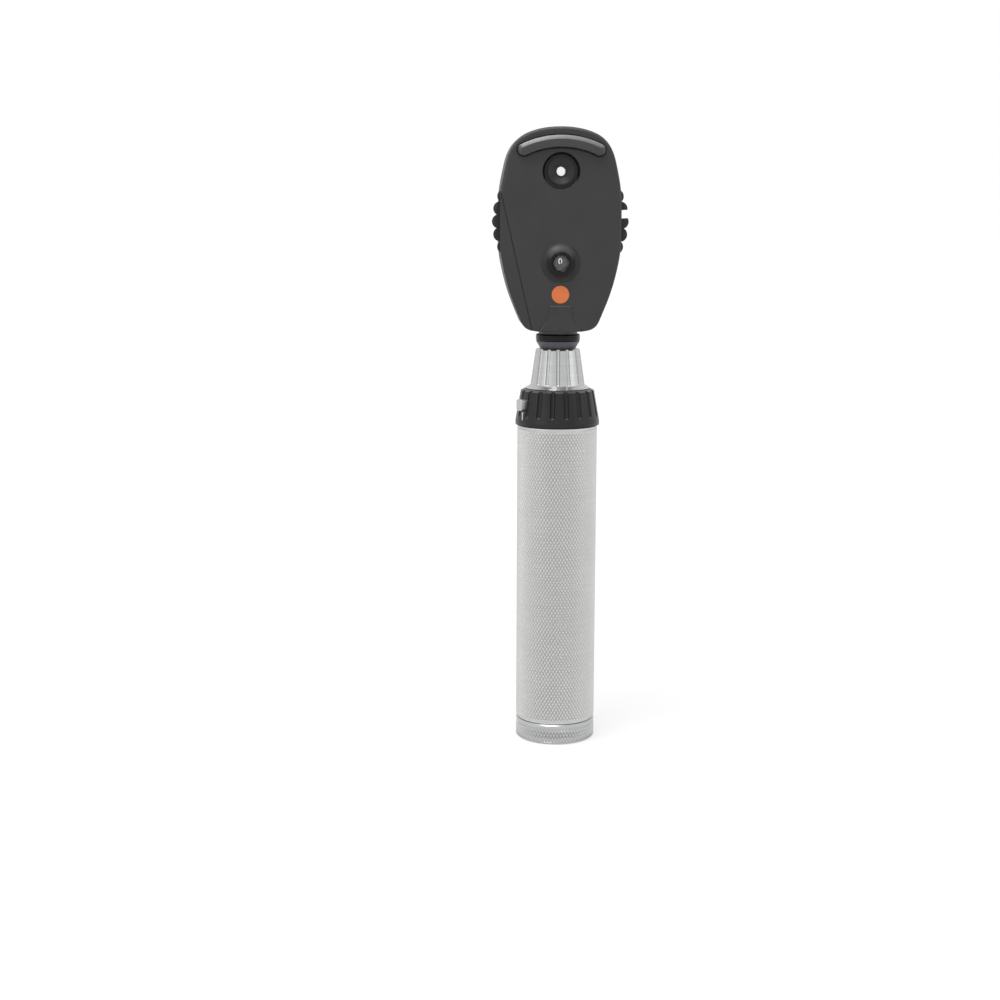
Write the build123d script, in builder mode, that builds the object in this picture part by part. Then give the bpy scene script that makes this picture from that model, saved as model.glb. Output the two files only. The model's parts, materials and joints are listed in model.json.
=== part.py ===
"""Direct ophthalmoscope: an examination head plugged into a rechargeable battery handle.

Millimetres, +Z up. The origin is the centre of the foot, on the handle's axis. The examiner's
side, with the brow rest and the sight hole, faces -Y; the patient's side faces +Y.

The lamp stands in the neck and shines up the handle's axis: condenser, aperture wheel, filter
slide, projection lens, then a 45 degree mirror that turns the beam to +Y. The examiner looks
over the mirror's top edge, through one lens of the big lens wheel.
"""

import os
from math import asin, atan2, cos, degrees, hypot, radians, sin, sqrt

from build123d import *

os.makedirs("parts", exist_ok=True)

# ---------------------------------------------------------------- clearances
slip = 0.08  # radial gap of a bearing or of a part that slides in a bore
seat = 0.03  # radial gap of a part that is pressed or glued in
play = 0.25  # gap beside a moving face
air = 0.3  # gap that a fixed part leaves beside a loose fit

# ---------------------------------------------------------------- battery handle
tube_radius = 15.0
tube_wall = 1.6
tube_edge = 0.25
grip_length = 112.9
cap_height = 8.0
cap_edge = 0.7
cap_floor = 3.2
cap_groove = 0.35  # V groove between the end cap and the grip
thread_length = 7.5
thread_wall = 2.0
oring_wire = 0.6

socket_radius = 3.25  # round charging socket in the foot
socket_depth = 9.0
socket_wall = 1.6
insert_radius = 8.0
insert_flange = 1.4
contact_plate = 0.8
plate_radius = 5.0

sleeve_wall = 0.5
battery_length = 92.0
battery_edge = 0.5
sleeve_end = 1.0  # bare at each end of the cell
battery_nub_radius = 2.6
battery_nub = 0.8
spring_radius = 6.0
spring_wire = 0.5
spring_turns = 4
spring_plate_thickness = 0.8
battery_lift = 19.0  # foot to the battery's lower end

ring_height = 13.5  # rheostat ring
ring_gap = 0.2
ring_bottom_radius = 15.75
ring_shoulder_radius = 15.8
ring_top_radius = 13.74
ring_crown_radius = 12.2
ring_lip = 1.3
ring_edge = 0.8
ring_slots = 18
ring_slot_width = 1.9
ring_slot_depth = 0.85
ring_plain_band = 3.0
hub_radius = 10.6  # fixed hub that the ring turns on
hub_bore = 7.0
track_height = 0.4
track_width = 2.0
track_sweep = 270.0
track_gap = 0.4  # hub to the track
wiper_height = 0.9
wiper_width = 1.2
wiper_length = 2.4

button_angle = 209.0  # from +X, seen from above
button_width = 3.4
button_height = 4.2
button_rise = 129.0 - 121.1  # above the ring's lower edge
button_stands_out = 2.6
button_travel = 0.8
button_flange = 0.7  # step that keeps the button in its pocket
button_depth_left = 0.7  # behind the pressed button
button_corner = 0.7
button_spring_wall = 0.5
button_step = 0.55  # the flange stands out this far all round
button_edge = 0.4
index_width = 0.5
index_length = 3.2
index_rise = 2.0
index_depth = 0.1
index_thickness = 0.55

cone_height = 14.6  # fluted coupling cone
cone_flange_radius = 12.2
cone_foot_radius = 10.2
cone_top_radius = 8.3
cone_rim = 1.2
cone_edge = 0.4
cone_flutes = 15
first_flute = -93.0
flute_width = 1.3
flute_foot = 1.9
coupling_bore = 5.6
coupling_depth = 12.4
cone_spigot = 6.0

pin_radius = 1.5
pin_travel = 0.8
pin_stands_up = 1.2
pin_collar_radius = 2.3
pin_collar_height = 1.0
pin_tip_edge = 0.5
bush_radius = 3.0
bush_lift = 4.5  # hub's underside to the bush
bush_well = 8.0
stud_height = 0.6
contact_spring_wire = 0.3
contact_spring_turns = 4
washer_thickness = 1.0

# ---------------------------------------------------------------- head plug and lamp
collar_radius = 8.28
collar_height = 2.7
collar_edge = 0.7
collar_lift = 2.9  # cone's top to the collar
plug_shoulder_radius = 6.7
plug_neck_radius = 7.2
plug_length = 12.0
plug_edge = 0.6
plug_step = 1.3
plug_flange_radius = 9.0
plug_flange = 2.0
neck_gap = 1.4  # collar to the head's underside
lamp_radius = 4.0
lamp_contact_radius = 1.6
lamp_contact_depth = 2.5
lamp_insulator_radius = 2.4
lamp_lift = 0.8  # contact pin's tip to the lamp's body
lamp_lip = 0.8
emitter_radius = 1.4
emitter_height = 0.6

# ---------------------------------------------------------------- head shell
head_height = 73.9
head_half_width = 22.2
head_foot_half_width = 9.0
shell_wall = 2.2
flange_recess = 0.2  # the plug's flange sits this deep in the shells' floor
front_face = -11.0  # Y of the examiner's face
rear_face = 15.0  # Y of the patient's face
front_edge = 1.3
rear_edge = 3.0
seam_top_y = -1.0  # Y of the shell joint at the head's top and foot
seam_foot_y = -8.0
flank_foot_x = -10.4  # the shells also meet on a straight line down the face's left flank
flank_top_x = -21.8
flank_top_rise = 49.4
seam_groove = 0.3
dish_radius = 6.9
dish_depth = 1.6
dish_taper = 28.0
sight_ring_radius = 5.0
sight_hole = 1.65
sight_glass_radius = 2.4
sight_glass = 0.4
sight_hole_depth = 1.25  # the hole's rim below the face
sight_funnel = 0.8
sight_rim = 0.45
sight_rim_depth = 0.3
sight_ring_seat = 0.5
sight_ring_step = 1.0
boss_radius = 7.35
boss_top_radius = 4.25
boss_rise = 2.8
boss_hollow = 0.62  # 0.5 is a straight flank, more is a hollow one
display_opening = 2.85
display_bore = 4.0
bezel_proud = 0.15
bezel_edge = 0.25
magnifier_before_face = 0.4
magnifier_lip = 0.45
magnifier_flange = 1.6
magnifier_dome = 0.5
magnifier_bulge = 0.35
rest_radius = 31.5  # brow rest: a curved strip
rest_rise_above_wheel = -2.8  # its centre of curvature above the wheel's centre
rest_half_angle = 25.8
rest_width = 4.4
rest_gap = 0.4
rest_sunk = 1.2
rest_stands_out = 2.1
tongue_height = 0.45  # how far it stands out of the face
tongue_rise = 9.4
tongue_top_half = 4.0
tongue_waist_half = 4.9
tongue_waist_rise = 4.6
tongue_foot_half = 8.0
badge_radius = 3.2
badge_depth = 0.6
badge_below_display = 11.4
window_width = 9.6
window_height = 14.4
window_glass = 1.2
window_ledge = 1.0
window_sunk = 0.15
gasket = 0.4
upper_screw_x = 8.0
upper_screw_rise = 27.7  # above the wheel's axle
lower_screw_x = 10.6
lower_screw_rise = 13.5  # above the head's underside
screw_sunk = 0.4
boss_meet = 2.0  # depth where the two shells' screw pillars meet
screw_end_gap = 0.6
drive_length = 1.3  # of the screw head's radius
drive_width = 0.3
screw_radius = 1.2
screw_head_radius = 2.1
screw_head_height = 1.4
screw_boss_radius = 2.2
frame_screw_radius = 1.0
frame_screw_head = 1.7
frame_screw_head_height = 1.2
frame_boss_radius = 2.0

# ---------------------------------------------------------------- lens wheel
wheel_radius = 25.0
wheel_thickness = 3.0
wheel_height = 39.9  # head's underside to the wheel's axle
wheel_gap = 0.4
wheel_edge = 0.5
wheel_bevel = 1.1
wheel_bumps = 30
wheel_bump_radius = 2.6
wheel_notch = 2.0  # from the bumps' tops to the disc that joins them
lens_count = 28
lens_circle = 18.0
lens_hole = 1.7
lens_depth = 1.0
lens_thickness = 1.1
lens_bulge = 0.45  # bulge of the strongest lens
lens_half_power = 8  # power that has half that bulge
number_band_inner = 12.7
number_band_outer = 16.0
number_band_depth = 0.4
axle_radius = 2.0
axle_hold = 0.9  # the axle's depth in the shell and in the frame
display_circle = 15.0
detent_ball_radius = 1.0
detent_from_rim = 3.0
detent_dimple = 0.2
detent_pocket = 4.5
detent_spring_wall = 0.35

# ---------------------------------------------------------------- optics
frame_half_width = 7.0
frame_rear = 11.0
frame_foot_half = 9.4
frame_foot_height = 6.8
frame_plate = 2.0
frame_plate_half = 5.0
frame_above_sight = 5.0
beam_bore = 3.3
lens_radius = 3.95
lens_ring_wall = 0.8
lens_ring_height = 2.4
condenser_rise = 7.4  # plug's top to the condenser's dome
condenser_edge = 2.0
condenser_dome = 0.9
projection_drop = 4.2  # below the wheel's axle
projection_edge = 1.8
projection_dome = 0.7
mirror_thickness = 1.0
mirror_half_width = 4.2
mirror_rise = 12.8  # wheel's axle to the mirror's centre
mirror_below_sight = 0.35
pocket_drop = 4.6  # mirror's centre to its pocket's floor
sight_clear = 0.6
web = 1.4  # wall between the beam bore and the lens wheel
aperture_wheel_front = 0.4  # beam bore's wall to the aperture wheel
aperture_wheel_thickness = 2.0
aperture_circle = 8.0
aperture_count = 8
aperture_rise = 23.7  # head's underside to the aperture wheel
aperture_teeth = 40
tooth_gap = 0.5
aperture_axle_radius = 1.5
aperture_axle_length = 12.0
filter_rise = 16.6
filter_thickness = 1.2
filter_travel = 7.5
filter_hole = 2.8
filter_rim = 1.2
filter_glass = 1.0
filter_rear = 9.2
tab_width = 3.0
knob_width = 5.0
knob_height = 3.0
knob_depth = 2.4
knob_edge = 0.7
tab_share = 0.6  # how far the slide's tab reaches into the knob

# ---------------------------------------------------------------- heights and places
grip_bottom = cap_height
grip_top = grip_bottom + grip_length
tube_bore = tube_radius - tube_wall
sleeve_radius = tube_bore - air
battery_radius = sleeve_radius - sleeve_wall - seat
ring_bottom = grip_top + ring_gap
ring_top = ring_bottom + ring_height
cone_bottom = ring_top + ring_gap
cone_top = cone_bottom + cone_height
socket_floor = cone_top - coupling_depth
plug_bottom = cone_top - plug_length
collar_bottom = cone_top + collar_lift
collar_top = collar_bottom + collar_height
head_bottom = collar_top + neck_gap
head_top = head_bottom + head_height
plug_top = head_bottom + shell_wall + plug_flange
wheel_z = head_bottom + wheel_height
sight_z = wheel_z + lens_circle
display_z = wheel_z - display_circle
badge_z = display_z - badge_below_display
mirror_z = wheel_z + mirror_rise
inner_front = front_face + shell_wall
inner_rear = rear_face - shell_wall
wheel_front = inner_front + play
wheel_rear = wheel_front + wheel_thickness
frame_front = wheel_rear + play
beam_front = frame_front + web
aperture_z = head_bottom + aperture_rise
aperture_wheel_radius = aperture_circle - beam_front - aperture_wheel_front
filter_z = head_bottom + filter_rise
frame_top = sight_z + frame_above_sight
axle_front = inner_front - axle_hold
axle_rear = frame_front + axle_hold
sight_ledge = inner_front - sight_ring_seat
sight_spigot_radius = sight_ring_radius - sight_ring_step
window_z = (sight_z + mirror_z) / 2
window_recess = gasket + window_glass + window_sunk
screw_seat = rear_face - screw_head_height - screw_sunk
tab_end = rear_face + air + knob_depth * tab_share
screw_places = [(side * upper_screw_x, wheel_z + upper_screw_rise) for side in (-1, 1)]
screw_places += [(side * lower_screw_x, head_bottom + lower_screw_rise) for side in (-1, 1)]
frame_screw_places = [(side * 3.2, wheel_z + upper_screw_rise) for side in (-1, 1)]
frame_screw_places += [(side * 7.2, plug_top + frame_foot_height / 2) for side in (-1, 1)]
detent_circle = wheel_radius - detent_from_rim
detent_x = (mirror_half_width + slip + frame_half_width) / 2
detent_place = (detent_x, wheel_z + sqrt(detent_circle**2 - detent_x**2))
detent_angle = degrees(atan2(detent_place[1] - wheel_z, detent_x))
detent_ball_y = wheel_rear + seat + detent_ball_radius
detent_pocket_end = detent_ball_y + detent_pocket


def save(piece, label):
    """Name a finished piece and write its STEP file."""
    piece.part.label = label
    export_step(piece.part, f"parts/{label}.step")
    print(f"{label}: {len(piece.part.solids())} solid(s), {piece.part.volume:.1f} mm3")


def facing(y):
    """A plane at depth y whose normal points to the examiner, with X to the right and Z up."""
    return Plane(origin=(0, y, 0), x_dir=(1, 0, 0), z_dir=(0, -1, 0))


def disc(radius, bottom, top):
    """A round bar on the handle's axis, for use inside a part block."""
    with Locations((0, 0, (bottom + top) / 2)):
        Cylinder(radius, top - bottom)


def disc_bore(radius, bottom, top):
    """A round hole on the handle's axis, for use inside a part block."""
    with Locations((0, 0, (bottom + top) / 2)):
        Cylinder(radius, top - bottom, mode=Mode.SUBTRACT)


def turned(points):
    """Revolve a closed outline of (radius, height) points about the handle's axis."""
    with BuildSketch(Plane.XZ) as profile:
        with BuildLine():
            Polyline(*points, close=True)
        make_face()
    revolve(profile.sketch, axis=Axis.Z)


def coil(radius, wire, bottom, top, turns):
    """A closed-end spring wire about the handle's axis."""
    pitch = (top - bottom - 2 * wire) / turns
    with BuildLine() as path:
        Helix(pitch, pitch * turns, radius, center=(0, 0, bottom + wire))
    with BuildSketch(Plane(origin=path.line @ 0, z_dir=path.line % 0)) as section:
        Circle(wire)
    sweep(section.sketch, path=path.line, is_frenet=True)


# ================================================================ battery handle
spigot_radius = tube_bore - slip
spigot_top = cap_height - cap_groove + thread_length
spigot_bore = spigot_radius - thread_wall

with BuildPart() as grip_tube:
    disc(tube_radius, grip_bottom, grip_top)
    chamfer(grip_tube.edges().filter_by(GeomType.CIRCLE), tube_edge)
    with Locations((0, 0, (grip_bottom + grip_top) / 2)):
        Cylinder(tube_bore, grip_length, mode=Mode.SUBTRACT)
save(grip_tube, "grip_tube")

with BuildPart() as end_cap:
    turned(
        [
            (insert_radius + seat, 0),
            (tube_radius - cap_edge, 0),
            (tube_radius, cap_edge),
            (tube_radius, cap_height - 2 * cap_groove),
            (tube_radius - cap_groove, cap_height - cap_groove),
            (spigot_radius, cap_height - cap_groove),
            (spigot_radius, spigot_top),
            (spigot_bore, spigot_top),
            (spigot_bore, cap_floor),
            (insert_radius + seat, cap_floor),
        ]
    )
save(end_cap, "end_cap")

with BuildPart() as cap_oring:
    with BuildSketch(Plane.XZ):
        with Locations((spigot_bore + thread_wall / 2, spigot_top + oring_wire / 2)):
            Rectangle(oring_wire, oring_wire)
    revolve(axis=Axis.Z)
save(cap_oring, "cap_seal_ring")

insert_top = socket_depth + socket_wall
with BuildPart() as charging_insert:
    turned(
        [
            (socket_radius, 0),
            (insert_radius, 0),
            (insert_radius, cap_floor),
            (insert_radius + insert_flange, cap_floor),
            (insert_radius + insert_flange, cap_floor + insert_flange),
            (socket_radius + socket_wall, cap_floor + insert_flange),
            (socket_radius + socket_wall, insert_top),
            (lamp_contact_radius, insert_top),
            (lamp_contact_radius, socket_depth),
            (socket_radius, socket_depth),
        ]
    )
save(charging_insert, "charging_insert")

with BuildPart() as charging_contact:
    disc(lamp_contact_radius - seat, socket_depth, insert_top + contact_plate)
save(charging_contact, "charging_contact")

plate_bottom = cap_floor + insert_flange
plate_top = plate_bottom + spring_plate_thickness
plate_bore = socket_radius + socket_wall + slip
with BuildPart() as spring_plate:
    turned(
        [
            (plate_bore, plate_bottom),
            (spigot_bore - air, plate_bottom),
            (spigot_bore - air, plate_top),
            (plate_bore, plate_top),
        ]
    )
save(spring_plate, "spring_plate")

with BuildPart() as battery_spring:
    coil(spring_radius + spring_wire, spring_wire, plate_top, battery_lift, spring_turns)
save(battery_spring, "battery_spring")

battery_top = battery_lift + battery_length
with BuildPart() as battery_cell:
    disc(battery_radius, battery_lift, battery_top)
    chamfer(battery_cell.edges().filter_by(GeomType.CIRCLE), battery_edge)
    disc(battery_nub_radius, battery_top, battery_top + battery_nub)
save(battery_cell, "battery_cell")

with BuildPart() as battery_sleeve:
    disc(sleeve_radius, battery_lift + sleeve_end, battery_top - sleeve_end)
    with Locations((0, 0, (battery_lift + battery_top) / 2)):
        Cylinder(battery_radius + seat, battery_length, mode=Mode.SUBTRACT)
save(battery_sleeve, "battery_sleeve")

# The hub closes the tube, carries the rheostat ring and holds the coupling cone's spigot.
hub_bottom = battery_top + battery_nub + contact_plate
hub_floor = cone_bottom - cone_spigot - washer_thickness
with BuildPart() as handle_hub:
    turned(
        [
            (bush_radius + seat, hub_bottom),
            (tube_bore - seat, hub_bottom),
            (tube_bore - seat, grip_top),
            (hub_radius, grip_top),
            (hub_radius, cone_bottom),
            (hub_bore + seat, cone_bottom),
            (hub_bore + seat, hub_floor),
            (bush_radius + seat, hub_floor),
        ]
    )
save(handle_hub, "handle_hub")

bush_bottom = hub_bottom + bush_lift
bush_step = bush_bottom + bush_well
stud_top = bush_bottom + stud_height
with BuildPart() as top_contact:
    disc(plate_radius, battery_top + battery_nub, hub_bottom)
    disc(pin_collar_radius, hub_bottom, stud_top)
save(top_contact, "top_contact")

with BuildPart() as contact_bush:
    turned(
        [
            (pin_collar_radius + slip, bush_bottom),
            (bush_radius, bush_bottom),
            (bush_radius, socket_floor),
            (pin_radius + slip, socket_floor),
            (pin_radius + slip, bush_step),
            (pin_collar_radius + slip, bush_step),
        ]
    )
save(contact_bush, "contact_bush")

pin_top = socket_floor + pin_stands_up
pin_bottom = bush_step - pin_travel - pin_collar_height - play
with BuildPart() as contact_pin:
    disc(pin_collar_radius, pin_bottom, pin_bottom + pin_collar_height)
    disc(pin_radius, pin_bottom, pin_top)
    fillet(contact_pin.edges().group_by(Axis.Z)[-1], pin_tip_edge)
save(contact_pin, "contact_pin")

with BuildPart() as contact_spring:
    coil(pin_radius, contact_spring_wire, stud_top, pin_bottom, contact_spring_turns)
save(contact_spring, "contact_spring")

track_inner = hub_radius + track_gap
with BuildPart() as resistance_track:
    with BuildSketch(Plane.XZ):
        with Locations((track_inner + track_width / 2, grip_top + track_height / 2)):
            Rectangle(track_width, track_height)
    revolve(axis=Axis.Z, revolution_arc=track_sweep)
save(resistance_track, "resistance_track")

# Rheostat ring: slotted side, plain band below, a recess under it for the track and wiper.
wiper_bottom = grip_top + track_height + play
recess_top = wiper_bottom + wiper_height
recess_radius = track_inner + track_width + air
shoulder_z = ring_bottom + ring_lip
ring_edge_z = ring_top - ring_edge
lean = degrees(atan2(ring_shoulder_radius - ring_top_radius, ring_edge_z - shoulder_z))
slot_length = ring_height
button_z = ring_bottom + button_rise


def ring_surface(z):
    """Radius of the rheostat ring's side at height z."""
    share = (z - shoulder_z) / (ring_edge_z - shoulder_z)
    return ring_shoulder_radius + share * (ring_top_radius - ring_shoulder_radius)


button_face = ring_surface(button_z) + button_stands_out
button_back = hub_radius + slip + button_travel + button_depth_left
button_plane = Plane(
    origin=(0, 0, button_z),
    x_dir=(-sin(radians(button_angle)), cos(radians(button_angle)), 0),
    z_dir=(cos(radians(button_angle)), sin(radians(button_angle)), 0),
)
flange_outer = button_back + button_flange

index_z = ring_bottom + index_rise + index_length / 2
index_plane = Plane(
    origin=(0, 0, index_z), x_dir=button_plane.x_dir, z_dir=button_plane.z_dir
)
index_seat = ring_surface(index_z + index_length / 2) - index_depth

with BuildPart() as rheostat_ring:
    turned(
        [
            (hub_radius + slip, recess_top),
            (recess_radius, recess_top),
            (recess_radius, ring_bottom),
            (ring_bottom_radius, ring_bottom),
            (ring_shoulder_radius, shoulder_z),
            (ring_top_radius, ring_edge_z),
            (ring_crown_radius, ring_top),
            (hub_radius + slip, ring_top),
        ]
    )
    slot_z = ring_bottom + ring_plain_band + ring_slot_width / 2
    slot_centre = ring_surface(slot_z) + ring_slot_width / 2 - ring_slot_depth
    mid = slot_length / 2
    slot_radius = slot_centre - mid * sin(radians(lean))
    with Locations((0, 0, slot_z + mid)):
        with PolarLocations(slot_radius, ring_slots, start_angle=button_angle + 180 / ring_slots):
            Cylinder(
                ring_slot_width / 2, slot_length, rotation=(0, -lean, 0), mode=Mode.SUBTRACT
            )
    with Locations((0, 0, slot_z)):
        with PolarLocations(slot_centre, ring_slots, start_angle=button_angle + 180 / ring_slots):
            Sphere(ring_slot_width / 2, mode=Mode.SUBTRACT)
    with BuildSketch(button_plane.offset(hub_radius / 2)):
        RectangleRounded(button_width + 2 * slip, button_height + 2 * slip, button_corner)
    extrude(amount=ring_shoulder_radius, mode=Mode.SUBTRACT)
    with BuildSketch(button_plane.offset(flange_outer + slip)):
        RectangleRounded(
            button_width + 2 * (button_step + slip),
            button_height + 2 * (button_step + slip),
            button_corner,
        )
    extrude(amount=-hub_radius / 2, mode=Mode.SUBTRACT)
    with BuildSketch(index_plane.offset(index_seat)):
        Rectangle(index_width + 2 * seat, index_length + 2 * seat)
    extrude(amount=2 * index_thickness, mode=Mode.SUBTRACT)
save(rheostat_ring, "rheostat_ring")

with BuildPart() as lock_button:
    with BuildSketch(button_plane.offset(button_back)):
        RectangleRounded(button_width, button_height, button_corner)
    extrude(amount=button_face - button_back)
    outer_face = lock_button.faces().sort_by(Axis((0, 0, 0), button_plane.z_dir))[-1]
    fillet(outer_face.edges(), button_edge)
    with BuildSketch(button_plane.offset(button_back)):
        RectangleRounded(
            button_width + 2 * button_step, button_height + 2 * button_step, button_corner
        )
    extrude(amount=button_flange)
save(lock_button, "lock_button")

with BuildPart() as button_spring:
    with BuildSketch(button_plane.offset(hub_radius + 2 * slip)):
        RectangleRounded(button_width, button_width, button_corner)
        RectangleRounded(
            button_width - 2 * button_spring_wall,
            button_width - 2 * button_spring_wall,
            button_corner - button_spring_wall / 2,
            mode=Mode.SUBTRACT,
        )
    extrude(amount=button_back - hub_radius - 2 * slip)
save(button_spring, "button_spring")

with BuildPart() as wiper:
    with Locations((track_inner + track_width / 2, 0, wiper_bottom + wiper_height / 2)):
        Box(wiper_width, wiper_length, wiper_height)
save(wiper, "wiper")

with BuildPart() as index_mark:
    with BuildSketch(index_plane.offset(index_seat)):
        Rectangle(index_width, index_length)
    extrude(amount=index_thickness)
save(index_mark, "index_mark")

# ================================================================ coupling cone
cone_foot_z = cone_bottom + cone_rim
cone_edge_z = cone_top - cone_edge
flute_lean = degrees(atan2(cone_foot_radius - cone_top_radius, cone_edge_z - cone_foot_z))


def cone_surface(z):
    """Radius of the coupling cone's side at height z."""
    share = (z - cone_foot_z) / (cone_edge_z - cone_foot_z)
    return cone_foot_radius + share * (cone_top_radius - cone_foot_radius)


with BuildPart() as coupling_cone:
    turned(
        [
            (coupling_bore, cone_bottom - cone_spigot),
            (hub_bore, cone_bottom - cone_spigot),
            (hub_bore, cone_bottom),
            (cone_flange_radius, cone_bottom),
            (cone_flange_radius - cone_rim / 2, cone_bottom + cone_rim / 4),
            (cone_foot_radius, cone_foot_z),
            (cone_top_radius, cone_edge_z),
            (cone_top_radius - cone_edge, cone_top),
            (coupling_bore, cone_top),
        ]
    )
    flute_z = cone_bottom + flute_foot
    flute_length = cone_height
    flute_centre = cone_surface(flute_z)
    with Locations((0, 0, flute_z + flute_length / 2)):
        middle = flute_centre - flute_length / 2 * sin(radians(flute_lean))
        with PolarLocations(middle, cone_flutes, start_angle=first_flute):
            Cylinder(
                flute_width / 2, flute_length, rotation=(0, -flute_lean, 0), mode=Mode.SUBTRACT
            )
    with Locations((0, 0, flute_z)):
        with PolarLocations(flute_centre, cone_flutes, start_angle=first_flute):
            Sphere(flute_width / 2, mode=Mode.SUBTRACT)
save(coupling_cone, "coupling_cone")

with BuildPart() as socket_washer:
    turned(
        [
            (bush_radius + seat, hub_floor),
            (coupling_bore - seat, hub_floor),
            (coupling_bore - seat, socket_floor),
            (bush_radius + seat, socket_floor),
        ]
    )
save(socket_washer, "socket_washer")

# ================================================================ head plug and lamp
lamp_top = head_bottom + shell_wall
collar_bore = plug_shoulder_radius
with BuildPart() as head_plug:
    turned(
        [
            (lamp_radius + slip, plug_bottom),
            (coupling_bore - slip - plug_edge, plug_bottom),
            (coupling_bore - slip, plug_bottom + plug_edge),
            (coupling_bore - slip, cone_top),
            (plug_shoulder_radius - plug_step, cone_top),
            (plug_shoulder_radius - plug_step, cone_top + plug_edge / 2),
            (plug_shoulder_radius, cone_top + plug_edge / 2),
            (collar_radius - plug_edge / 4, collar_bottom - plug_edge / 4),
            (collar_radius - plug_edge / 4, collar_bottom),
            (plug_shoulder_radius, collar_bottom),
            (plug_shoulder_radius, collar_top),
            (plug_neck_radius, collar_top),
            (plug_neck_radius, head_bottom + shell_wall),
            (plug_flange_radius, head_bottom + shell_wall),
            (plug_flange_radius, plug_top),
            (lamp_radius - lamp_lip, plug_top),
            (lamp_radius - lamp_lip, lamp_top),
            (lamp_radius + slip, lamp_top),
        ]
    )
save(head_plug, "head_plug")

with BuildPart() as neck_collar:
    turned(
        [
            (collar_bore + seat, collar_bottom),
            (collar_radius, collar_bottom),
            (collar_radius, collar_top),
            (collar_bore + seat, collar_top),
        ]
    )
    outer = neck_collar.faces().filter_by(GeomType.CYLINDER).sort_by(SortBy.RADIUS)[-1]
    fillet(outer.edges().filter_by(GeomType.CIRCLE), collar_edge)
save(neck_collar, "neck_collar")

lamp_bottom = pin_top + lamp_lift
lamp_well_z = lamp_bottom + lamp_contact_depth / 2
with BuildPart() as lamp_body:
    disc(lamp_radius, lamp_bottom, lamp_top)
    with Locations((0, 0, lamp_well_z)):
        Cylinder(lamp_insulator_radius, lamp_contact_depth, mode=Mode.SUBTRACT)
save(lamp_body, "lamp_body")

with BuildPart() as lamp_insulator:
    disc(lamp_insulator_radius - seat, lamp_bottom, lamp_bottom + lamp_contact_depth)
    with Locations((0, 0, lamp_well_z)):
        Cylinder(lamp_contact_radius + seat, lamp_contact_depth, mode=Mode.SUBTRACT)
save(lamp_insulator, "lamp_insulator")

with BuildPart() as lamp_contact:
    disc(lamp_contact_radius, pin_top, lamp_bottom + lamp_contact_depth)
save(lamp_contact, "lamp_contact")

with BuildPart() as lamp_emitter:
    disc(emitter_radius, lamp_top, lamp_top + emitter_height)
    fillet(lamp_emitter.edges().group_by(Axis.Z)[-1], emitter_height * 0.8)
save(lamp_emitter, "lamp_emitter")


# ================================================================ head shell
def turned_on(height, points):
    """Revolve a closed outline of (radius, depth) points about an axis along Y."""
    with BuildSketch(Plane.XY.offset(height)) as profile:
        with BuildLine():
            Polyline(*points, close=True)
        make_face()
    revolve(profile.sketch, axis=Axis((0, 0, height), (0, 1, 0)))


def lens_profile(radius, thickness, front_bulge, rear_bulge):
    """Half section of a lens with its axis on local Y; a bulge below zero is hollow."""
    front, rear = -thickness / 2, thickness / 2
    with BuildLine() as outline:
        Line((0, front - front_bulge), (0, rear + rear_bulge))
        curve((0, rear + rear_bulge), (radius, rear), rear_bulge)
        Line((radius, rear), (radius, front))
        curve((0, front - front_bulge), (radius, front), -front_bulge)
    make_face(outline.edges())


def curve(pole, rim, bulge):
    """A spherical lens face in section, or a straight line where there is no bulge."""
    if bulge == 0:
        Line(pole, rim)
    else:
        sphere = (rim[0] ** 2 + bulge**2) / (2 * bulge)
        half_angle = asin(rim[0] / sphere) / 2
        halfway = (sphere * sin(half_angle), pole[1] - sphere * (1 - cos(half_angle)))
        ThreePointArc(pole, halfway, rim)


def lens_blank(middle, radius, thickness, front_bulge, rear_bulge):
    """A round lens whose axis lies along Y."""
    with BuildSketch(Plane(origin=middle, x_dir=(1, 0, 0), z_dir=(0, 0, 1))) as section:
        lens_profile(radius, thickness, front_bulge, rear_bulge)
    revolve(section.sketch, axis=Axis(middle, (0, 1, 0)))


def upright_lens(bottom, radius, thickness, bulge):
    """A lens on the beam, flat below and domed above."""
    middle = (0, 0, bottom + thickness / 2)
    with BuildSketch(Plane(origin=middle, x_dir=(1, 0, 0), z_dir=(0, -1, 0))) as section:
        lens_profile(radius, thickness, 0, bulge)
    revolve(section.sketch, axis=Axis.Z)


def screws(places, shank, head, head_height, under_head):
    """Screws driven from the patient's side, each with a cross-shaped drive."""
    boss(places, shank, inner_front + screw_end_gap, under_head)
    boss(places, head, under_head, under_head + head_height)
    with BuildSketch(facing(under_head + head_height)) as drive:
        with Locations(*places):
            Rectangle(head * drive_length, head * drive_width)
            Rectangle(head * drive_width, head * drive_length)
    extrude(drive.sketch, amount=head_height / 2, mode=Mode.SUBTRACT)


def rest_strip(width):
    """The brow rest's outline: a strip with round ends along an arc."""
    middle = (0, wheel_z + rest_rise_above_wheel)
    with BuildLine() as path:
        CenterArc(middle, rest_radius, 90 - rest_half_angle, 2 * rest_half_angle)
    SlotArc(path.wires()[0], width)


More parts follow.
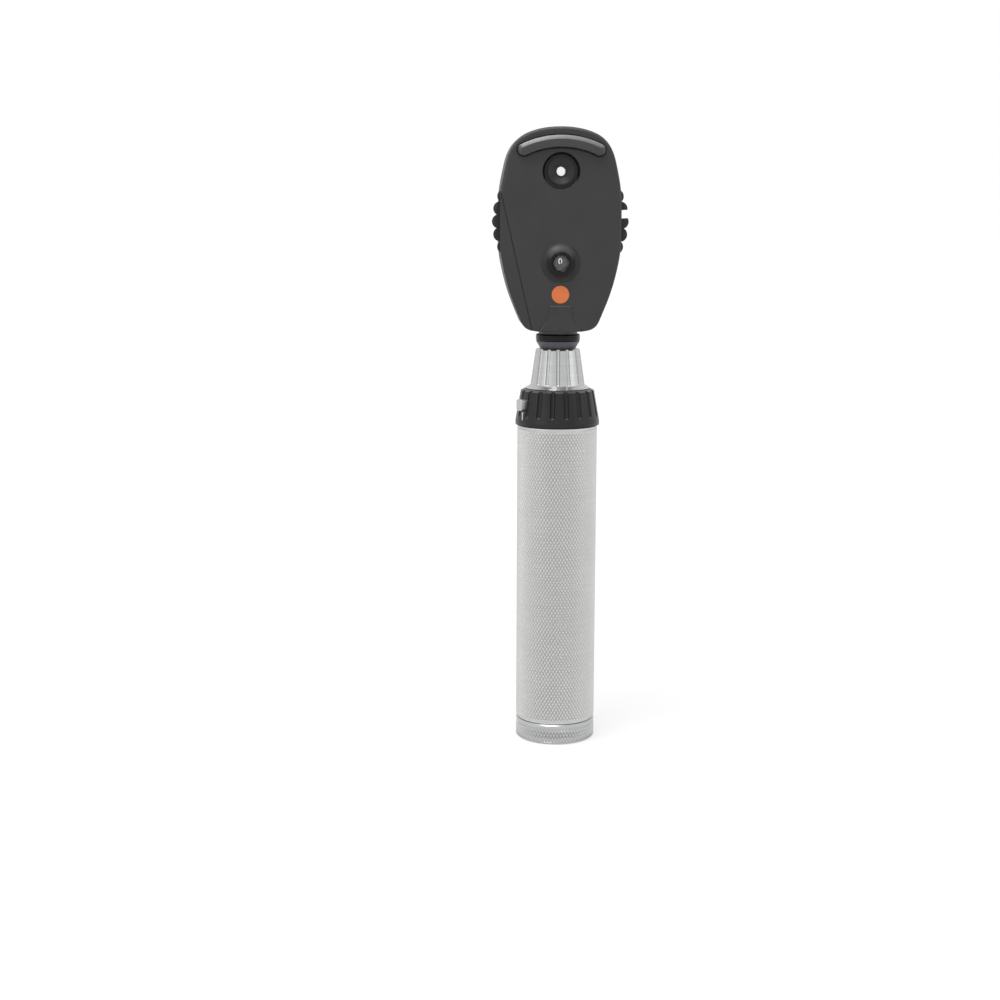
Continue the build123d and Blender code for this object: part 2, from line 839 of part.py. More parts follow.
def head_outline(inset=0.0):
    """The head's egg-shaped outline seen from the front, set in by a wall."""
    half = head_half_width - inset
    low, high = head_bottom + inset, head_top - inset
    tall = high - low
    side = [
        (head_foot_half_width - inset / 2, low),
        (half * 0.590, low + tall * 0.022),
        (half * 0.672, low + tall * 0.065),
        (half * 0.827, low + tall * 0.183),
        (half * 0.934, low + tall * 0.300),
        (half * 0.990, low + tall * 0.400),
        (half, low + tall * 0.506),
        (half * 0.976, low + tall * 0.711),
        (half * 0.920, low + tall * 0.800),
        (half * 0.833, low + tall * 0.887),
        (half * 0.683, low + tall * 0.946),
        (half * 0.450, low + tall * 0.981),
    ]
    other_side = [(-x, z) for x, z in reversed(side)]
    with BuildLine() as outline:
        Spline((0, low), *side, (0, high), *other_side, periodic=True)
    make_face(outline.edges())


def seam_plane(shift=0.0):
    """The tilted plane where the two shells meet; its normal points to the patient."""
    rise = head_top - head_bottom
    run = seam_top_y - seam_foot_y
    tilt = hypot(rise, run)
    return Plane(
        origin=(0, seam_foot_y + shift, head_bottom),
        x_dir=(1, 0, 0),
        z_dir=(0, rise / tilt, -run / tilt),
    )


def shell_cavity():
    """The hollow inside both shells and every opening that both of them share."""
    with BuildSketch(facing(inner_rear)) as hollow:
        head_outline(shell_wall + flange_recess)
    extrude(hollow.sketch, amount=inner_rear - inner_front, mode=Mode.SUBTRACT)
    with Locations(Location((0, (inner_front + frame_front) / 2, wheel_z), (90, 0, 0))):
        Cylinder(wheel_radius + wheel_gap, frame_front - inner_front, mode=Mode.SUBTRACT)
    with Locations((0, 0, head_bottom)):
        Cylinder(plug_neck_radius + seat, 4 * shell_wall, mode=Mode.SUBTRACT)
    with Locations((0, 0, lamp_top + plug_flange)):
        Cylinder(plug_flange_radius + seat, 2 * plug_flange, mode=Mode.SUBTRACT)


def boss(places, radius, start, end):
    """Round pillars along Y inside a shell."""
    with BuildSketch(facing(end)) as circles:
        with Locations(*places):
            Circle(radius)
    extrude(circles.sketch, amount=end - start)


def drill(places, radius, start, end):
    """Round holes along Y."""
    with BuildSketch(facing(end)) as circles:
        with Locations(*places):
            Circle(radius)
    extrude(circles.sketch, amount=end - start, mode=Mode.SUBTRACT)


def flared_boss():
    """The raised cone round the display: its flank is a hollow curve."""
    top, foot = (boss_top_radius, front_face - boss_rise), (boss_radius, front_face)
    halfway = (
        foot[0] - boss_hollow * (foot[0] - top[0]),
        foot[1] - (1 - boss_hollow) * boss_rise,
    )
    with BuildSketch(Plane.XY.offset(display_z)) as profile:
        with BuildLine():
            ThreePointArc(foot, halfway, top)
            Polyline(top, (0, top[1]), (0, inner_front), (foot[0], inner_front), foot)
        make_face()
    revolve(profile.sketch, axis=Axis((0, 0, display_z), (0, 1, 0)))


def block(depth_from, depth_to):
    """The head's full outline between two depths."""
    with BuildSketch(facing(depth_to)) as whole:
        head_outline()
    extrude(whole.sketch, amount=depth_to - depth_from)


# The front shell's share of the head: before the tilted seam and right of the flank line.
flank_lean = (flank_top_x - flank_foot_x) / flank_top_rise
far = 3 * head_half_width


def flank_x(rise):
    """X of the flank line at a height above the head's underside."""
    return flank_foot_x + flank_lean * rise


with BuildPart() as front_share:
    with BuildSketch(facing(2 * rear_face)):
        with BuildLine():
            Polyline(
                (flank_x(-far), head_bottom - far),
                (flank_x(2 * far), head_bottom + 2 * far),
                (far, head_bottom + 2 * far),
                (far, head_bottom - far),
                close=True,
            )
        make_face()
    extrude(amount=4 * rear_face)
    split(bisect_by=seam_plane(), keep=Keep.BOTTOM)

with BuildPart() as front_housing:
    block(front_face, rear_face)
    fillet(front_housing.faces().sort_by(Axis.Y)[0].edges(), front_edge)
    shell_cavity()
    add(front_share.part, mode=Mode.INTERSECT)
    boss(screw_places, screw_boss_radius, inner_front - 0.3, boss_meet)
    boss(frame_screw_places, frame_boss_radius, inner_front - 0.3, frame_front)
    drill(screw_places, screw_radius + seat, inner_front, boss_meet)
    drill(frame_screw_places, frame_screw_radius + seat, inner_front, frame_front)
    drill([(0, wheel_z)], axle_radius + seat, axle_front, inner_front)
    # raised cone round the display, with its bore
    flared_boss()
    drill([(0, display_z)], display_bore + seat, front_face - 2 * boss_rise, inner_front)
    # dished seat of the sight ring
    with BuildSketch(facing(front_face)):
        with Locations((0, sight_z)):
            Circle(dish_radius)
    extrude(amount=-dish_depth, taper=dish_taper, mode=Mode.SUBTRACT)
    drill([(0, sight_z)], sight_ring_radius + seat, front_face - 1, sight_ledge)
    drill([(0, sight_z)], sight_spigot_radius + seat, sight_ledge - 1, inner_front)
    # shallow round seat of the plain inlay
    drill([(0, badge_z)], badge_radius + seat, front_face - 1, front_face + badge_depth)
    # raised tongue that widens to the neck
    with BuildSketch(facing(front_face + front_edge)):
        with BuildLine():
            for side in (-1, 1):
                Spline(
                    (side * tongue_top_half, head_bottom + tongue_rise),
                    (side * tongue_waist_half, head_bottom + tongue_waist_rise),
                    (side * tongue_foot_half, head_bottom),
                )
            Line(
                (-tongue_top_half, head_bottom + tongue_rise),
                (tongue_top_half, head_bottom + tongue_rise),
            )
            Line((-tongue_foot_half, head_bottom), (tongue_foot_half, head_bottom))
        make_face()
    extrude(amount=front_edge + tongue_height)
    tongue_face = front_housing.faces().filter_by(Plane.XZ).sort_by(Axis.Y)
    tongue_face = tongue_face.filter_by(lambda face: face.center().Z < badge_z)[0]
    chamfer(tongue_face.edges(), tongue_height * 0.6)
    # curved groove of the brow rest
    with BuildSketch(facing(front_face - 1)) as groove:
        rest_strip(rest_width + 2 * rest_gap)
    extrude(groove.sketch, amount=-(1 + rest_sunk), mode=Mode.SUBTRACT)
    # shadow gap along the flank line
    with BuildSketch(facing(front_face)):
        with BuildLine():
            Polyline(
                (flank_x(-2), head_bottom - 2),
                (flank_x(flank_top_rise), head_bottom + flank_top_rise),
                (flank_x(flank_top_rise) + seam_groove, head_bottom + flank_top_rise),
                (flank_x(-2) + seam_groove, head_bottom - 2),
                close=True,
            )
        make_face()
    extrude(amount=-2 * seam_groove, mode=Mode.SUBTRACT)
save(front_housing, "front_housing")

with BuildPart() as rear_housing:
    block(front_face, rear_face)
    fillet(rear_housing.faces().sort_by(Axis.Y)[-1].edges(), rear_edge)
    shell_cavity()
    add(front_share.part, mode=Mode.SUBTRACT)
    boss(screw_places, screw_boss_radius, boss_meet, inner_rear + 0.3)
    drill(screw_places, screw_radius + air, boss_meet - 1, rear_face)
    drill(screw_places, screw_head_radius + slip, screw_seat, rear_face + 1)
    # opening for the aperture wheel's rim
    with Locations((0, aperture_circle, aperture_z)):
        Cylinder(
            aperture_wheel_radius + 2 * play,
            aperture_wheel_thickness + 4 * play,
            mode=Mode.SUBTRACT,
        )
    # slot for the filter slide's tab
    with Locations((0, rear_face, filter_z)):
        Box(
            filter_travel + tab_width + 2 * air,
            4 * shell_wall,
            filter_thickness + 2 * air,
            mode=Mode.SUBTRACT,
        )
    # window seat and the opening behind it
    with BuildSketch(facing(rear_face + 1)):
        with Locations((0, window_z)):
            SlotOverall(window_height, window_width, rotation=90)
    extrude(amount=1 + window_recess, mode=Mode.SUBTRACT)
    with BuildSketch(facing(rear_face)):
        with Locations((0, window_z)):
            SlotOverall(
                window_height - 2 * window_ledge, window_width - 2 * window_ledge, rotation=90
            )
    extrude(amount=shell_wall + 1, mode=Mode.SUBTRACT)
save(rear_housing, "rear_housing")

# ---------------------------------------------------------------- trim on the shells
with BuildPart() as orbital_rest:
    with BuildSketch(facing(front_face + rest_sunk)) as strip:
        rest_strip(rest_width)
    extrude(strip.sketch, amount=rest_sunk + rest_stands_out)
    fillet(orbital_rest.faces().sort_by(Axis.Y)[0].edges(), rest_stands_out * 0.7)
save(orbital_rest, "orbital_rest")

with BuildPart() as front_inlay:
    with BuildSketch(facing(front_face + badge_depth)):
        with Locations((0, badge_z)):
            Circle(badge_radius)
    extrude(amount=badge_depth)
save(front_inlay, "front_inlay")

hole_rim = front_face + sight_hole_depth
hole_back = hole_rim + sight_glass
with BuildPart() as sight_ring:
    turned_on(
        sight_z,
        [
            (sight_hole, hole_rim),
            (sight_hole + sight_funnel, hole_rim),
            (sight_ring_radius - sight_rim, front_face + sight_rim_depth),
            (sight_ring_radius, front_face + sight_rim_depth),
            (sight_ring_radius, sight_ledge),
            (sight_spigot_radius, sight_ledge),
            (sight_spigot_radius, inner_front - slip),
            (sight_glass_radius + seat, inner_front - slip),
            (sight_glass_radius + seat, hole_back),
            (sight_hole, hole_back),
        ],
    )
save(sight_ring, "sight_ring")

with BuildPart() as sight_window:
    with BuildSketch(facing(hole_back + sight_glass)):
        with Locations((0, sight_z)):
            Circle(sight_glass_radius)
    extrude(amount=sight_glass)
save(sight_window, "sight_window")

bezel_front = front_face - boss_rise - bezel_proud
bezel_back = inner_front - slip
glass_bore = display_opening + magnifier_lip
lens_step = front_face - magnifier_before_face
with BuildPart() as display_bezel:
    turned_on(
        display_z,
        [
            (display_opening, bezel_front + bezel_edge),
            (display_opening + bezel_edge, bezel_front),
            (display_bore - bezel_edge, bezel_front),
            (display_bore, bezel_front + bezel_edge),
            (display_bore, bezel_back),
            (glass_bore, bezel_back),
            (glass_bore, lens_step),
            (display_opening, lens_step),
        ],
    )
save(display_bezel, "display_bezel")

with BuildPart() as display_magnifier:
    flange_middle = (0, lens_step + magnifier_flange / 2, display_z)
    lens_blank(flange_middle, glass_bore - seat, magnifier_flange, 0, 0)
    dome_middle = (0, lens_step - magnifier_dome / 2, display_z)
    lens_blank(dome_middle, display_opening - seat, magnifier_dome, magnifier_bulge, 0)
save(display_magnifier, "display_magnifier")

with BuildPart() as window_gasket:
    with BuildSketch(facing(rear_face - window_recess + gasket)):
        with Locations((0, window_z)):
            SlotOverall(window_height - 2 * seat, window_width - 2 * seat, rotation=90)
            SlotOverall(
                window_height - 2 * window_ledge,
                window_width - 2 * window_ledge,
                rotation=90,
                mode=Mode.SUBTRACT,
            )
    extrude(amount=gasket)
save(window_gasket, "window_gasket")

with BuildPart() as rear_window:
    with BuildSketch(facing(rear_face - window_recess + gasket + window_glass)):
        with Locations((0, window_z)):
            SlotOverall(window_height - 2 * seat, window_width - 2 * seat, rotation=90)
    extrude(amount=window_glass)
save(rear_window, "rear_window")

with BuildPart() as housing_screws:
    screws(screw_places, screw_radius, screw_head_radius, screw_head_height, screw_seat)
save(housing_screws, "housing_screws")

# ================================================================ optics
condenser_top = plug_top + condenser_rise
condenser_z = condenser_top - condenser_edge - condenser_dome
projection_z = wheel_z - projection_drop
slot_gap = filter_thickness + play
with BuildPart() as optics_frame:
    with Locations((0, (frame_front + frame_rear) / 2, (plug_top + frame_top) / 2)):
        Box(2 * frame_half_width, frame_rear - frame_front, frame_top - plug_top)
    with Locations((0, (frame_front + frame_rear) / 2, plug_top + frame_foot_height / 2)):
        Box(2 * frame_foot_half, frame_rear - frame_front, frame_foot_height)
    top_plate = frame_screw_places[0][1] + frame_boss_radius - frame_top
    with Locations((0, frame_front + frame_plate / 2, frame_top + top_plate / 2)):
        Box(2 * frame_plate_half, frame_plate, top_plate)
    # beam bore, wider where the lenses sit
    with Locations((0, 0, (plug_top + frame_top) / 2)):
        Cylinder(beam_bore, frame_top - plug_top - 4 * condenser_rise, mode=Mode.SUBTRACT)
    with Locations((0, 0, (plug_top + condenser_top) / 2)):
        Cylinder(lens_radius + seat, condenser_rise, mode=Mode.SUBTRACT)
    with Locations((0, 0, (projection_z + mirror_z) / 2)):
        Cylinder(lens_radius + seat, mirror_z - projection_z, mode=Mode.SUBTRACT)
    # pocket of the mirror, open to the patient's side
    pocket_floor = mirror_z - pocket_drop
    with Locations((0, (beam_front + frame_rear) / 2, (pocket_floor + frame_top) / 2)):
        Box(
            2 * (mirror_half_width + slip),
            frame_rear - beam_front,
            frame_top - pocket_floor,
            mode=Mode.SUBTRACT,
        )
    drill([(0, sight_z)], sight_hole + sight_clear, frame_front, beam_front)
    # gap of the aperture wheel and of the filter slide
    gap_front = aperture_circle - aperture_wheel_radius - play
    with Locations((0, (gap_front + frame_rear) / 2, aperture_z)):
        Box(
            2 * frame_foot_half,
            frame_rear - gap_front,
            aperture_wheel_thickness + 2 * play,
            mode=Mode.SUBTRACT,
        )
    with Locations((0, (beam_front + frame_rear) / 2, filter_z)):
        Box(2 * frame_foot_half, frame_rear - beam_front, slot_gap, mode=Mode.SUBTRACT)
    with Locations((0, aperture_circle, aperture_z)):
        Cylinder(aperture_axle_radius + seat, aperture_axle_length, mode=Mode.SUBTRACT)
    drill([(0, wheel_z)], axle_radius + seat, frame_front, axle_rear)
    drill([detent_place], detent_ball_radius + slip, frame_front, detent_pocket_end)
    drill(frame_screw_places, frame_screw_radius + air, frame_front, frame_front + frame_plate)
    drill(frame_screw_places, frame_screw_head + air, frame_front + frame_plate, frame_rear)
save(optics_frame, "optics_frame")

with BuildPart() as frame_screws:
    screws(
        frame_screw_places,
        frame_screw_radius,
        frame_screw_head,
        frame_screw_head_height,
        frame_front + frame_plate,
    )
save(frame_screws, "frame_screws")

with BuildPart() as condenser_lens:
    upright_lens(condenser_z, lens_radius, condenser_edge, condenser_dome)
save(condenser_lens, "condenser_lens")

with BuildPart() as condenser_ring:
    disc(lens_radius, plug_top + slip, condenser_z)
    disc_bore(lens_radius - lens_ring_wall, plug_top, condenser_z)
save(condenser_ring, "condenser_ring")

with BuildPart() as projection_lens:
    upright_lens(projection_z, lens_radius, projection_edge, projection_dome)
save(projection_lens, "projection_lens")

with BuildPart() as projection_ring:
    ring_seat = projection_z + projection_edge + projection_dome / 2
    disc(lens_radius, ring_seat, ring_seat + lens_ring_height)
    disc_bore(lens_radius - lens_ring_wall, ring_seat, ring_seat + lens_ring_height)
save(projection_ring, "projection_ring")

# The mirror and its block: both cut from one 45 degree slope through the beam.
slope = mirror_thickness * sqrt(2)
block_top = sight_z - sight_hole - mirror_below_sight
glass_front = beam_front + slip
with BuildPart() as mirror_glass:
    with BuildSketch(Plane.YZ):
        with BuildLine():
            Polyline(
                (glass_front, mirror_z + glass_front),
                (block_top - mirror_z, block_top),
                (block_top - mirror_z - slope, block_top),
                (glass_front, mirror_z + glass_front + slope),
                close=True,
            )
        make_face()
    extrude(amount=mirror_half_width, both=True)
save(mirror_glass, "mirror")

with BuildPart() as mirror_block:
    with BuildSketch(Plane.YZ):
        with BuildLine():
            Polyline(
                (glass_front, mirror_z + glass_front + slope),
                (block_top - mirror_z - slope, block_top),
                (glass_front, block_top),
                close=True,
            )
        make_face()
    extrude(amount=mirror_half_width, both=True)
save(mirror_block, "mirror_block")

# ---------------------------------------------------------------- lens wheel
with BuildPart() as wheel_axle:
    with BuildSketch(facing(axle_rear)):
        with Locations((0, wheel_z)):
            Circle(axle_radius)
    extrude(amount=axle_rear - axle_front)
save(wheel_axle, "wheel_axle")

# the plane is turned a quarter of a bump, clear of every bump's top and foot
rim_turn = radians(90 / wheel_bumps)
rim_plane = Plane(
    origin=(0, 0, wheel_z),
    x_dir=(cos(rim_turn), 0, sin(rim_turn)),
    z_dir=(-sin(rim_turn), 0, cos(rim_turn)),
)

with BuildPart() as lens_wheel:
    with BuildSketch(facing(wheel_rear)):
        with Locations((0, wheel_z)):
            Circle(wheel_radius - wheel_notch)
            with PolarLocations(wheel_radius - wheel_bump_radius, wheel_bumps):
                Circle(wheel_bump_radius)
    extrude(amount=wheel_thickness)
    # both edges of the rim are bevelled
    with BuildSketch(rim_plane) as rim:
        with BuildLine():
            Polyline(
                (0, wheel_rear + wheel_edge),
                (wheel_radius - 2 * wheel_bevel, wheel_rear + wheel_edge),
                (wheel_radius + wheel_bevel, wheel_rear - 2 * wheel_edge),
                (wheel_radius + wheel_bevel, wheel_rear - wheel_thickness + 2 * wheel_edge),
                (wheel_radius - 2 * wheel_bevel, wheel_rear - wheel_thickness - wheel_edge),
                (0, wheel_rear - wheel_thickness - wheel_edge),
                close=True,
            )
        make_face()
    revolve(rim.sketch, axis=Axis((0, 0, wheel_z), (0, 1, 0)), mode=Mode.INTERSECT)
    with BuildSketch(facing(wheel_rear)):
        with Locations((0, wheel_z)):
            with PolarLocations(lens_circle, lens_count, start_angle=90):
                Circle(lens_hole)
            Circle(axle_radius + slip)
    extrude(amount=wheel_thickness, mode=Mode.SUBTRACT)
    with BuildSketch(facing(wheel_front + number_band_depth)):
        with Locations((0, wheel_z)):
            Circle(number_band_outer)
            Circle(number_band_inner, mode=Mode.SUBTRACT)
    extrude(amount=number_band_depth, mode=Mode.SUBTRACT)
    with Locations(facing(detent_ball_y)):
        with Locations((0, wheel_z)):
            with PolarLocations(detent_circle, lens_count, start_angle=detent_angle):
                Sphere(detent_ball_radius + detent_dimple, mode=Mode.SUBTRACT)
save(lens_wheel, "lens_wheel")

with BuildPart() as dioptre_ring:
    with BuildSketch(facing(wheel_front + number_band_depth)):
        with Locations((0, wheel_z)):
            Circle(number_band_outer - seat)
            Circle(number_band_inner + seat, mode=Mode.SUBTRACT)
    extrude(amount=number_band_depth - 0.05)
save(dioptre_ring, "dioptre_ring")

# One place in the wheel stays open; the other 27 hold lenses of rising power.
plus_powers = list(range(1, 11)) + [12, 15, 20, 40]
minus_powers = list(range(1, 11)) + [15, 20, 25]
lens_powers = plus_powers + [-power for power in reversed(minus_powers)]
with BuildPart() as correction_lenses:
    for step, power in enumerate(lens_powers, start=1):
        angle = radians(90 - step * 360 / lens_count)
        centre = (lens_circle * cos(angle), wheel_z + lens_circle * sin(angle))
        bulge = lens_bulge * power / (abs(power) + lens_half_power)
        middle = (centre[0], wheel_front + lens_depth, centre[1])
        lens_blank(middle, lens_hole - seat, lens_thickness, bulge, bulge)
save(correction_lenses, "correction_lenses")

with BuildPart() as detent_ball:
    with Locations((detent_place[0], detent_ball_y, detent_place[1])):
        Sphere(detent_ball_radius)
save(detent_ball, "detent_ball")

with BuildPart() as detent_spring:
    spring_bore = detent_ball_radius - slip - detent_spring_wall
    spring_start = detent_ball_y + sqrt(detent_ball_radius**2 - spring_bore**2) + seat
    with BuildSketch(facing(detent_pocket_end)):
        with Locations(detent_place):
            Circle(detent_ball_radius - slip)
            Circle(spring_bore, mode=Mode.SUBTRACT)
    extrude(amount=detent_pocket_end - spring_start)
save(detent_spring, "detent_spring")

# ---------------------------------------------------------------- aperture wheel and filter
with BuildPart() as aperture_wheel:
    with BuildSketch(Plane.XY.offset(aperture_z - aperture_wheel_thickness / 2)):
        with Locations((0, aperture_circle)):
            Circle(aperture_wheel_radius)
            with PolarLocations(aperture_wheel_radius + tooth_gap / 2, aperture_teeth):
                Circle(tooth_gap, mode=Mode.SUBTRACT)
            Circle(aperture_axle_radius + slip, mode=Mode.SUBTRACT)
            with PolarLocations(aperture_circle, aperture_count, start_angle=-90) as places:
                stops = places.locations
        for place, radius in zip(stops[:4], (2.2, 1.5, 0.9, 0.4)):
            with Locations(place):
                Circle(radius, mode=Mode.SUBTRACT)
        with Locations(stops[4]):
            Rectangle(0.5, 4.0, mode=Mode.SUBTRACT)
        with Locations(stops[5]):
            Rectangle(0.3, 3.6, mode=Mode.SUBTRACT)
            Rectangle(3.6, 0.3, mode=Mode.SUBTRACT)
        with Locations(stops[6] * Location((0, 1.0))):
            Rectangle(3.6, 1.8, mode=Mode.SUBTRACT)
        with Locations(stops[7]):
            with GridLocations(1.4, 1.4, 3, 3):
                Rectangle(1.1, 1.1, mode=Mode.SUBTRACT)
    extrude(amount=aperture_wheel_thickness)
save(aperture_wheel, "aperture_wheel")

with BuildPart() as aperture_axle:
    with Locations((0, aperture_circle, aperture_z)):
        Cylinder(aperture_axle_radius, aperture_axle_length)
save(aperture_axle, "aperture_axle")

plate_left = -filter_travel - filter_hole - filter_rim
plate_right = filter_hole + filter_rim
tab_x = -filter_travel / 2
with BuildPart() as filter_slide:
    with BuildSketch(Plane.XY.offset(filter_z - filter_thickness / 2)):
        with Locations(((plate_left + plate_right) / 2, (glass_front + filter_rear) / 2)):
            Rectangle(plate_right - plate_left, filter_rear - glass_front)
        with Locations((tab_x, (filter_rear + tab_end) / 2)):
            Rectangle(tab_width, tab_end - filter_rear)
        with Locations((0, 0), (-filter_travel, 0)):
            Circle(filter_hole, mode=Mode.SUBTRACT)
    extrude(amount=filter_thickness)
save(filter_slide, "filter_slide")

with BuildPart() as red_free_filter:
    with Locations((-filter_travel, 0, filter_z)):
        Cylinder(filter_hole - seat, filter_glass)
save(red_free_filter, "red_free_filter")

with BuildPart() as filter_knob:
    knob_front = rear_face + air
    with Locations((tab_x, knob_front + knob_depth / 2, filter_z)):
        Box(knob_width, knob_depth, knob_height)
    fillet(filter_knob.faces().sort_by(Axis.Y)[-1].edges(), knob_edge)
    with Locations((tab_x, tab_end / 2, filter_z)):
        Box(tab_width + 2 * seat, tab_end, filter_thickness + 2 * seat, mode=Mode.SUBTRACT)
save(filter_knob, "filter_knob")
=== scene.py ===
# %% [markdown]
# # A direct ophthalmoscope
#
# The CAD frame is loaded first: it fixes every size and every place, in metres, with the
# foot's centre at the origin and Z up along the handle. This script adds the looks: the
# knurled grip and cap, the brow rest, the numbers of the lens wheel, the finishes, the light.

import json
from math import atan2, cos, pi, radians, sin

import bmesh
import bpy
from mathutils import Matrix, Vector


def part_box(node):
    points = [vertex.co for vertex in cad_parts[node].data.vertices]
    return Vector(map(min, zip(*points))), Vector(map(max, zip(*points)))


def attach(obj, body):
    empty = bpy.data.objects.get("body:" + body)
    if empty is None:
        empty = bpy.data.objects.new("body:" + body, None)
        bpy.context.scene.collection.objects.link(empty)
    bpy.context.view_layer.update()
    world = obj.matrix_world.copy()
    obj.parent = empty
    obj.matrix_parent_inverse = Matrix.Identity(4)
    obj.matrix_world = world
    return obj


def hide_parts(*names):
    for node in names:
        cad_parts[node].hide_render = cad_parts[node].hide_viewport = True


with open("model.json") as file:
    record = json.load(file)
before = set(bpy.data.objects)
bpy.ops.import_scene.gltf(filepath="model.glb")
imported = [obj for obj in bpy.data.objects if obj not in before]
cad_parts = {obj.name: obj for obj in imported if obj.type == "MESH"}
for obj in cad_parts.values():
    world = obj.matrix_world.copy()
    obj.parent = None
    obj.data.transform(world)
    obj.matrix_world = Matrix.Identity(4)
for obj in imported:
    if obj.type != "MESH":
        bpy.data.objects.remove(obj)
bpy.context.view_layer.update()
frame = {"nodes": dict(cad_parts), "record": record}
MM = 0.001

# %% [markdown]
# ## Camera
#
# The camera stands in front of the examiner's face of the head, a little to the left, at
# the height of the lens wheel, and looks slightly down. A long lens keeps the handle's
# sides nearly parallel. The axes are written out from tilt, turn and roll, which is clearer
# here than a track constraint, because the object isn't in the middle of the view.

# %% Camera
camera_place = Vector((-0.0472, -0.64676, 0.2003))
tilt, turn, roll = radians(9.503), radians(-2.278), radians(0.17)
forward = Vector((-sin(turn) * cos(tilt), cos(turn) * cos(tilt), -sin(tilt)))
level_right = Vector((cos(turn), sin(turn), 0))
level_up = level_right.cross(forward)
right = cos(roll) * level_right + sin(roll) * level_up
up = right.cross(forward)
lens = bpy.data.cameras.new("view")
lens.lens = 62.31
lens.sensor_width = 36
lens.clip_start = 0.01
camera = bpy.data.objects.new("view", lens)
bpy.context.scene.collection.objects.link(camera)
camera.matrix_world = Matrix(
    [(right[i], up[i], -forward[i], camera_place[i]) for i in range(3)] + [(0, 0, 0, 1)]
)
bpy.context.scene.camera = camera
print("camera looks along", [round(c, 3) for c in forward])

# %% [markdown]
# ## Node helpers
#
# The tent, the floor and the surface effects all use the same few nodes: a sum or a limit of
# values, a smooth step, a noise. Small functions make them here, so that each later cell
# says only what is special about it.


# %% Node helpers
def calculated(tree, operation, *values):
    """A math node on two or three values, each a socket or a number."""
    node = tree.nodes.new("ShaderNodeMath")
    node.operation = operation
    for socket, value in zip(node.inputs, values):
        if isinstance(value, float):
            socket.default_value = value
        else:
            tree.links.new(value, socket)
    return node.outputs[0]


def smooth_step(tree, value, start, end, low=0.0, high=1.0):
    """Go smoothly from low to high while a value goes from start to end."""
    step = tree.nodes.new("ShaderNodeMapRange")
    step.interpolation_type = "SMOOTHSTEP"
    step.inputs["From Min"].default_value = start
    step.inputs["From Max"].default_value = end
    step.inputs["To Min"].default_value = low
    step.inputs["To Max"].default_value = high
    tree.links.new(value, step.inputs["Value"])
    return step.outputs["Result"]


def vector_length(tree, vector):
    """The length of a vector."""
    node = tree.nodes.new("ShaderNodeVectorMath")
    node.operation = "LENGTH"
    tree.links.new(vector, node.inputs[0])
    return node.outputs["Value"]


def noise_at(tree, vector, scale, detail, stretch=None):
    """A noise texture on a vector, stretched along the axes where asked."""
    if stretch:
        mapping = tree.nodes.new("ShaderNodeMapping")
        mapping.inputs["Scale"].default_value = stretch
        tree.links.new(vector, mapping.inputs["Vector"])
        vector = mapping.outputs["Vector"]
    noise = tree.nodes.new("ShaderNodeTexNoise")
    noise.inputs["Scale"].default_value = scale
    noise.inputs["Detail"].default_value = detail
    tree.links.new(vector, noise.inputs["Vector"])
    return noise.outputs["Fac"]


def between(tree, value, low, high):
    """Stretch a noise's middle range so that it runs from low to high."""
    spread = tree.nodes.new("ShaderNodeMapRange")
    spread.inputs["From Min"].default_value = 0.3
    spread.inputs["From Max"].default_value = 0.7
    tree.links.new(value, spread.inputs["Value"])
    for socket, amount in (("To Min", low), ("To Max", high)):
        if isinstance(amount, float):
            spread.inputs[socket].default_value = amount
        else:
            tree.links.new(amount, spread.inputs[socket])
    return spread.outputs["Result"]


def seen_plainly(tree):
    """1 for camera, glossy and transmitted rays, 0 for rays that carry light."""
    path = tree.nodes.new("ShaderNodeLightPath").outputs
    seen = calculated(tree, "MAXIMUM", path["Is Camera Ray"], path["Is Glossy Ray"])
    return calculated(tree, "MAXIMUM", seen, path["Is Transmission Ray"])


print("node helpers ready")

# %% [markdown]
# ## Light, floor and background
#
# A small instrument is lit in a white tent: light comes from everywhere, with one large
# lamp above and to the left, so that edges that look up catch a soft shine. The world gives
# the tent: a bright roof and greyer walls for the light that falls on the object. Camera,
# glossy and transmitted rays see it as plain white.

# %% Tent
world = bpy.data.worlds.new("tent")
bpy.context.scene.world = world
world.use_nodes = True
tent = world.node_tree
tent.nodes.clear()
tent_way = tent.nodes.new("ShaderNodeTexCoord")
tent_axes = tent.nodes.new("ShaderNodeSeparateXYZ")
tent.links.new(tent_way.outputs["Generated"], tent_axes.inputs["Vector"])
tent_roof = smooth_step(
    tent, tent_axes.outputs["Z"], start=-0.1, end=0.9, low=0.3, high=1.0
)
tent_side = smooth_step(
    tent, tent_axes.outputs["X"], start=-0.9, end=0.9, low=1.2, high=0.8
)
tent_level = calculated(tent, "MULTIPLY", tent_roof, tent_side)
tent_light = tent.nodes.new("ShaderNodeBackground")
tent_light.inputs["Color"].default_value = (1, 1, 1, 1)
tent.links.new(tent_level, tent_light.inputs["Strength"])
tent_white = tent.nodes.new("ShaderNodeBackground")
tent_white.inputs["Color"].default_value = (1, 1, 1, 1)
tent_white.inputs["Strength"].default_value = 1.0
tent_mix = tent.nodes.new("ShaderNodeMixShader")
tent.links.new(seen_plainly(tent), tent_mix.inputs["Fac"])
tent.links.new(tent_light.outputs[0], tent_mix.inputs[1])
tent.links.new(tent_white.outputs[0], tent_mix.inputs[2])
tent_out = tent.nodes.new("ShaderNodeOutputWorld")
tent.links.new(tent_mix.outputs[0], tent_out.inputs["Surface"])
bpy.context.scene.view_settings.view_transform = "Standard"


def soft_lamp(name, place, target, size, power):
    """A square soft box at a place, turned to a target."""
    data = bpy.data.lights.new(name, "AREA")
    data.shape = "SQUARE"
    data.size = size
    data.energy = power
    lamp = bpy.data.objects.new(name, data)
    bpy.context.scene.collection.objects.link(lamp)
    lamp.location = place
    lamp.rotation_euler = (Vector(target) - Vector(place)).to_track_quat("-Z", "Y").to_euler()


